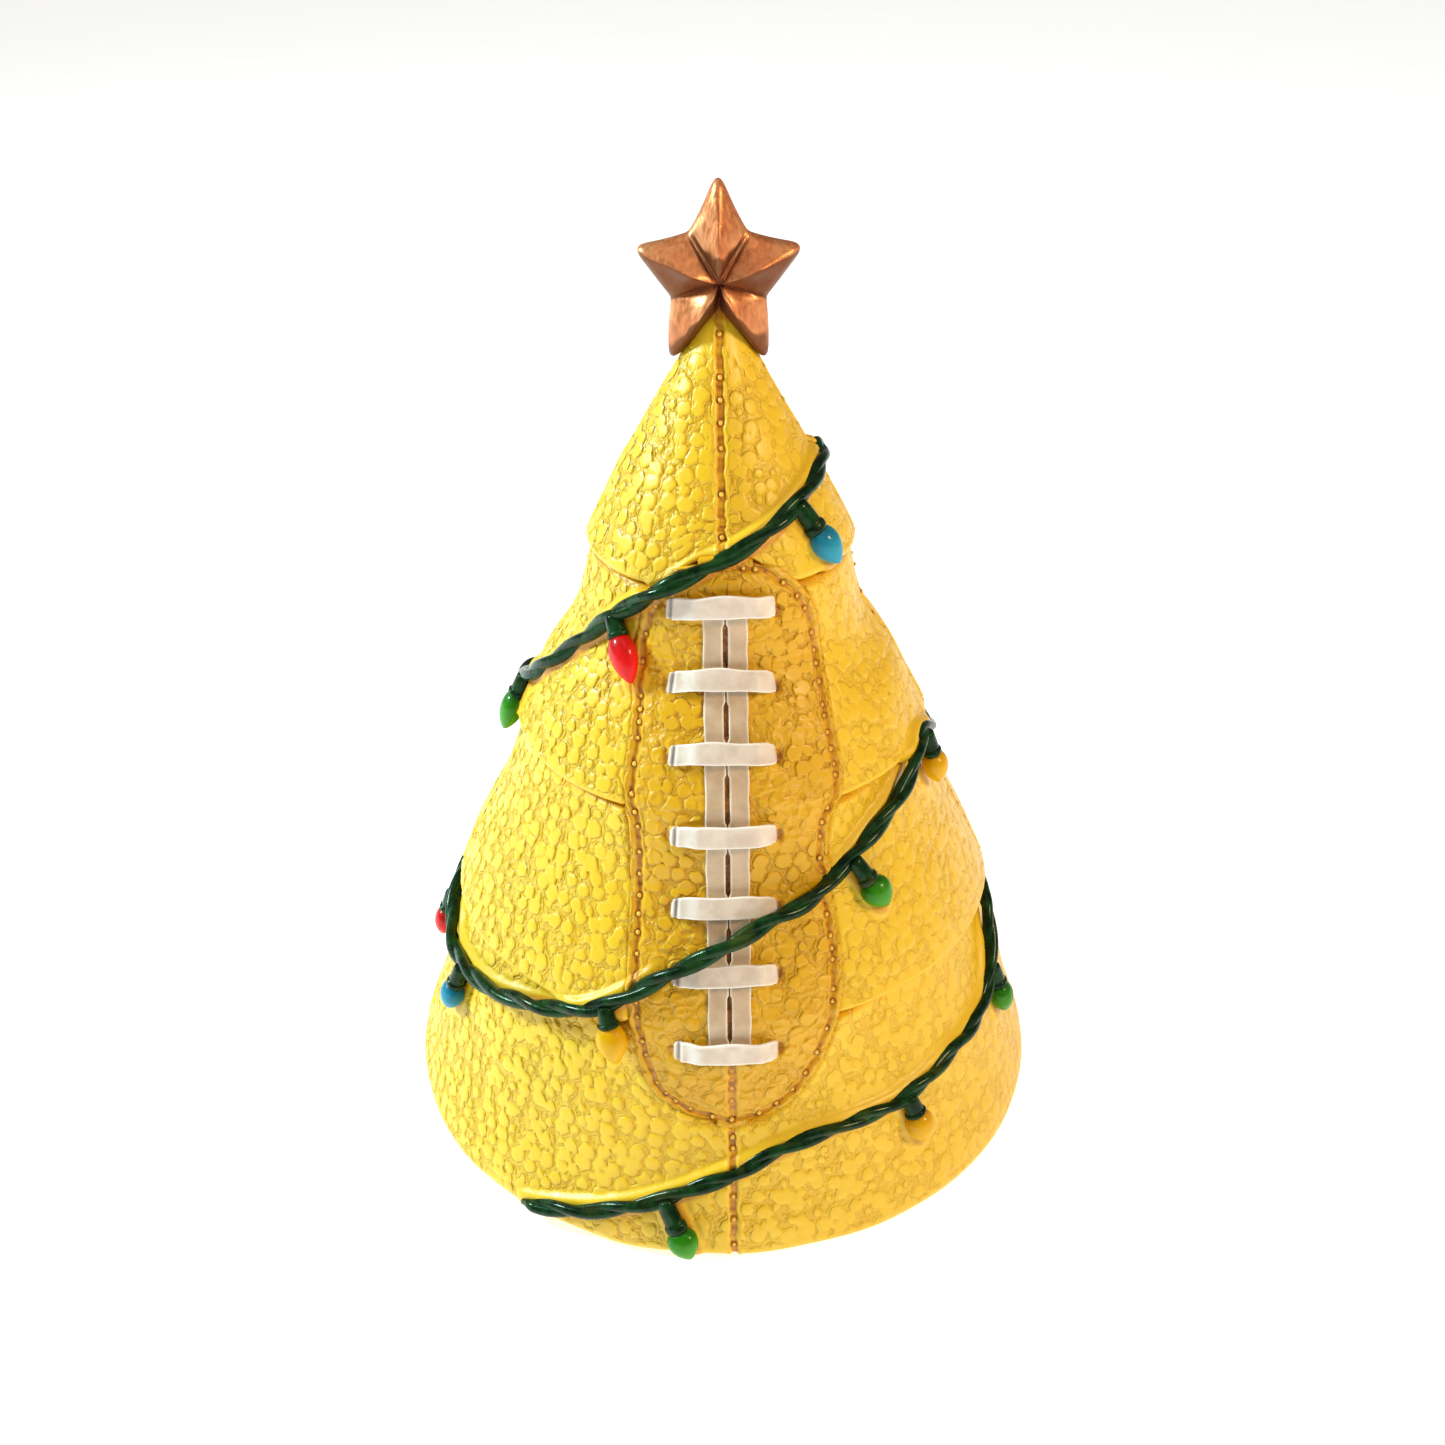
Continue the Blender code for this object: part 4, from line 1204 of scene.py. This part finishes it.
def copper_look():
    """Metallic copper paint laid on with a brush, with painted shade on its downward faces, in its valleys
    and grooves and round its middle.
    """
    look = Look(
        "copper_paint_brushed", Metallic=0.55, Specular_IOR_Level=0.2, Coat_Weight=0.05, Coat_Roughness=0.2
    )
    strokes = look.noise(0.55, 4.0, (1.0, 1.0, 0.28), 0.6)
    paint = look.mix(look.between(strokes, 0.3, 0.7), (0.52, 0.165, 0.056), (0.74, 0.270, 0.108))
    paint = look.mottle(paint, (0.88, 0.46, 0.22), 4.0, 0.4, 0.75, 0.5)
    # painted shade on the star's downward-facing faces
    paint = look.mix(look.between(look.value("under"), 0.0, 1.0, 0.0, 0.88), paint, (0.10, 0.028, 0.008))
    # painted shade in the star's valleys, grooves and middle
    paint = look.mix(look.between(look.value("crease"), 0.1, 0.9, 0.0, 0.85), paint, (0.15, 0.035, 0.014))
    roughness = look.between(strokes, 0.3, 0.7, 0.3, 0.46)
    return look.finish(paint, roughness, look.bump(strokes, 0.07))


def lace_look(name, low, high, edge):
    """Pearly satin paint, with a painted highlight along the raised edges and painted shade at a bar's ends.
    """
    look = Look(name, Coat_Weight=0.3, Coat_Roughness=0.25, Sheen_Weight=0.1)
    paint = look.mottle(low, high, 2.5)
    # painted highlight: whiter paint along the raised edges
    paint = look.mix(look.between(look.value("edge"), 0.1, 0.7, 0.0, 0.75), paint, edge)
    # painted shade at a bar's ends, where it turns down into its hole
    paint = look.mix(look.between(look.value("hollow"), 0.1, 0.9, 0.0, 0.7), paint, (0.22, 0.17, 0.15))
    return look.finish(paint, look.uneven(0.9, 0.32, 0.5), look.bump(look.noise(0.5, 3.0), 0.05))


def green_look():
    """Dark green gloss paint with olive patches."""
    look = Look(
        "green_gloss_paint", Coat_Weight=0.2, Coat_Roughness=0.07, Specular_IOR_Level=0.12,
        Specular_Tint=(0.35, 0.75, 0.45, 1.0),
    )
    paint = look.mottle((0.002, 0.011, 0.003), (0.008, 0.045, 0.010), 2.2, 0.35)
    paint = look.mottle(paint, (0.07, 0.08, 0.01), 5.0, 0.55, 0.8, 0.5, 2.0)
    return look.finish(paint, look.uneven(1.0, 0.2, 0.36), look.bump(look.noise(0.9, 3.0), 0.12))


def bulb_look(colour, deep, bright):
    """Gloss paint on a bulb, deeper in colour near its socket and brighter towards its tip."""
    look = Look(f"bulb_{colour}_paint", Coat_Weight=0.28, Coat_Roughness=0.04, Specular_IOR_Level=0.1)
    paint = look.mix(look.between(look.value("depth"), 0.0, 0.75), deep, bright)
    paint = look.mottle(paint, bright, 1.6, 0.45, 0.75, 0.5)
    return look.finish(paint, look.uneven(1.2, 0.3, 0.42), look.bump(look.noise(1.3, 2.0), 0.06))


def plain_look(name, low, high, size_mm, roughness, depth_mm, **constants):
    """A speckled finish for what is underneath or inside."""
    look = Look(name, **constants)
    grain = look.noise(size_mm, 4.0)
    paint = look.mix(look.between(grain, 0.3, 0.7), low, high)
    roughness = look.between(grain, 0.3, 0.7, roughness, roughness + 0.1)
    return look.finish(paint, roughness, look.bump(grain, depth_mm))


# --- the scene ---


def stitch_piece(material):
    """Every stitch bead as one piece, each sitting in its channel."""
    all_places, faces, foot = [], [], []
    places, bead_faces = bead_shape()
    count = 0
    for (azimuth, height, size), centre in zip(BEAD_SPOTS, BEAD_PLACES):
        out, up = cover_normal(height)
        turn = math.radians(azimuth)
        normal = np.array([math.sin(turn) * out, -math.cos(turn) * out, up])
        side = np.array([math.cos(turn), math.sin(turn), 0.0])
        down = np.cross(side, normal)
        radius = BEAD_RADIUS * size
        centre = centre - normal * 0.12
        spot = places @ np.array([side * radius, down * radius * 1.1, normal * radius * 0.85])
        all_places.append(centre + spot)
        faces += [[corner + count for corner in face] for face in bead_faces]
        # the bead's side towards the leather gets painted shade
        foot.append(smoothstep(0.45, 0.05, places[:, 2]))
        count += len(places)
    piece = new_mesh("stitch_beads", np.vstack(all_places), faces, material, foot=np.concatenate(foot))
    return place_piece(piece, "yellow_leather")


def recolour(node, material):
    """A CAD node whose shape is right keeps it, under a better material."""
    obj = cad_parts[node]
    obj.data.materials.clear()
    obj.data.materials.append(material)


def add_light(name, azimuth, elevation, distance, size, power, colour):
    """A round light aimed at the tree's middle, with its distance and size in metres."""
    turn, climb = math.radians(azimuth), math.radians(elevation)
    way = Vector((math.sin(turn) * math.cos(climb), -math.cos(turn) * math.cos(climb), math.sin(climb)))
    light = bpy.data.lights.new(name, "AREA")
    light.shape = "DISK"
    light.size = size
    light.energy = power
    light.color = colour
    obj = bpy.data.objects.new(name, light)
    obj.location = Vector((0.0, 0.0, 0.07)) + way * distance
    obj.rotation_euler = (-way).to_track_quat("-Z", "Y").to_euler()
    bpy.context.scene.collection.objects.link(obj)


def light_studio():
    for light in LIGHTS:
        add_light(*light)
    world = bpy.data.worlds.new("studio")
    world.use_nodes = True
    background = world.node_tree.nodes["Background"]
    background.inputs["Color"].default_value = (1.0, 0.96, 0.90, 1.0)
    background.inputs["Strength"].default_value = SKY_STRENGTH
    bpy.context.scene.world = world
    bpy.context.scene.view_settings.view_transform = "Standard"


def add_floor():
    material = plain_look(
        "floor_paper", (0.88, 0.89, 0.90), (0.91, 0.92, 0.93), 60.0, 0.85, 0.0,
        Emission_Color=(1.0, 1.0, 1.0, 1.0), Emission_Strength=FLOOR_GLOW,
    )
    corners = [(x * FLOOR_REACH, y * FLOOR_REACH, 0.0) for x, y in ((-1, -1), (1, -1), (1, 1), (-1, 1))]
    floor = new_mesh("floor", corners, [[0, 1, 2, 3]], material, smooth=False)


def add_camera():
    """At the photographer's place: a little left of the laces, looking down on the tree."""
    distance, height = 0.2345, 0.2057
    azimuth, pitch, roll, yaw = (math.radians(angle) for angle in (-0.8, 30.9, -0.355, -0.04))
    camera = bpy.data.cameras.new("camera")
    camera.sensor_width = 36.0
    camera.lens = 41.56
    camera.clip_start = 0.01
    obj = bpy.data.objects.new("camera", camera)
    obj.location = (distance * math.sin(azimuth), -distance * math.cos(azimuth), height)
    heading = Vector((-math.sin(azimuth + yaw), math.cos(azimuth + yaw), -math.tan(pitch)))
    turn = heading.to_track_quat("-Z", "Y").to_matrix()
    obj.rotation_euler = (turn @ Matrix.Rotation(roll, 3, "Z")).to_euler()
    bpy.context.scene.collection.objects.link(obj)
    bpy.context.scene.camera = obj


def main():
    add_camera()
    light_studio()
    add_floor()
    leather = leather_look(
        "yellow_leather_paint", (0.74, 0.45, 0.009), (0.82, 0.53, 0.014), (0.84, 0.57, 0.025)
    )
    # painted shade: the laced panel gets a darker, more orange copy of the leather paint
    panel = leather_look("golden_panel_paint", (0.61, 0.32, 0.003), (0.71, 0.395, 0.003), (0.75, 0.43, 0.006))
    green = green_look()
    for tier in range(len(LIPS)):
        tier_leather(tier, leather)
    panel_sheet(panel)
    stitch_piece(bead_look())
    sculpted_star(copper_look())
    # the third colour of each lace paint is its painted highlight
    strip_paint = lace_look("beige_lace_paint", (0.54, 0.40, 0.26), (0.64, 0.49, 0.34), (0.94, 0.88, 0.78))
    bar_paint = lace_look("pearl_lace_paint", (0.66, 0.55, 0.46), (0.79, 0.70, 0.62), (0.95, 0.91, 0.87))
    for side in ("left", "right"):
        lace_strip(side, strip_paint)
    for number, height in enumerate(BAR_HEIGHTS, start=1):
        lace_bar(number, height, bar_paint)
    twisted_string(green)
    glosses = {
        "red": bulb_look("red", (0.42, 0.004, 0.004), (0.78, 0.010, 0.010)),
        "blue": bulb_look("blue", (0.006, 0.15, 0.26), (0.02, 0.30, 0.46)),
        "green": bulb_look("green", (0.010, 0.12, 0.002), (0.045, 0.28, 0.003)),
        "yellow": bulb_look("yellow", (0.64, 0.32, 0.001), (0.74, 0.42, 0.002)),
    }
    hang_bulbs(green, glosses)
    recolour("base_plate", plain_look("cast_resin", (0.60, 0.56, 0.48), (0.74, 0.70, 0.62), 1.5, 0.55, 0.08))
    felt = plain_look("felt", (0.010, 0.055, 0.022), (0.03, 0.11, 0.05), 0.5, 0.9, 0.25, Sheen_Weight=0.4)
    recolour("felt_pad", felt)
    steel = plain_look("steel", (0.42, 0.42, 0.43), (0.58, 0.58, 0.6), 0.8, 0.28, 0.02, Metallic=1.0)
    recolour("star_pin", steel)


main()
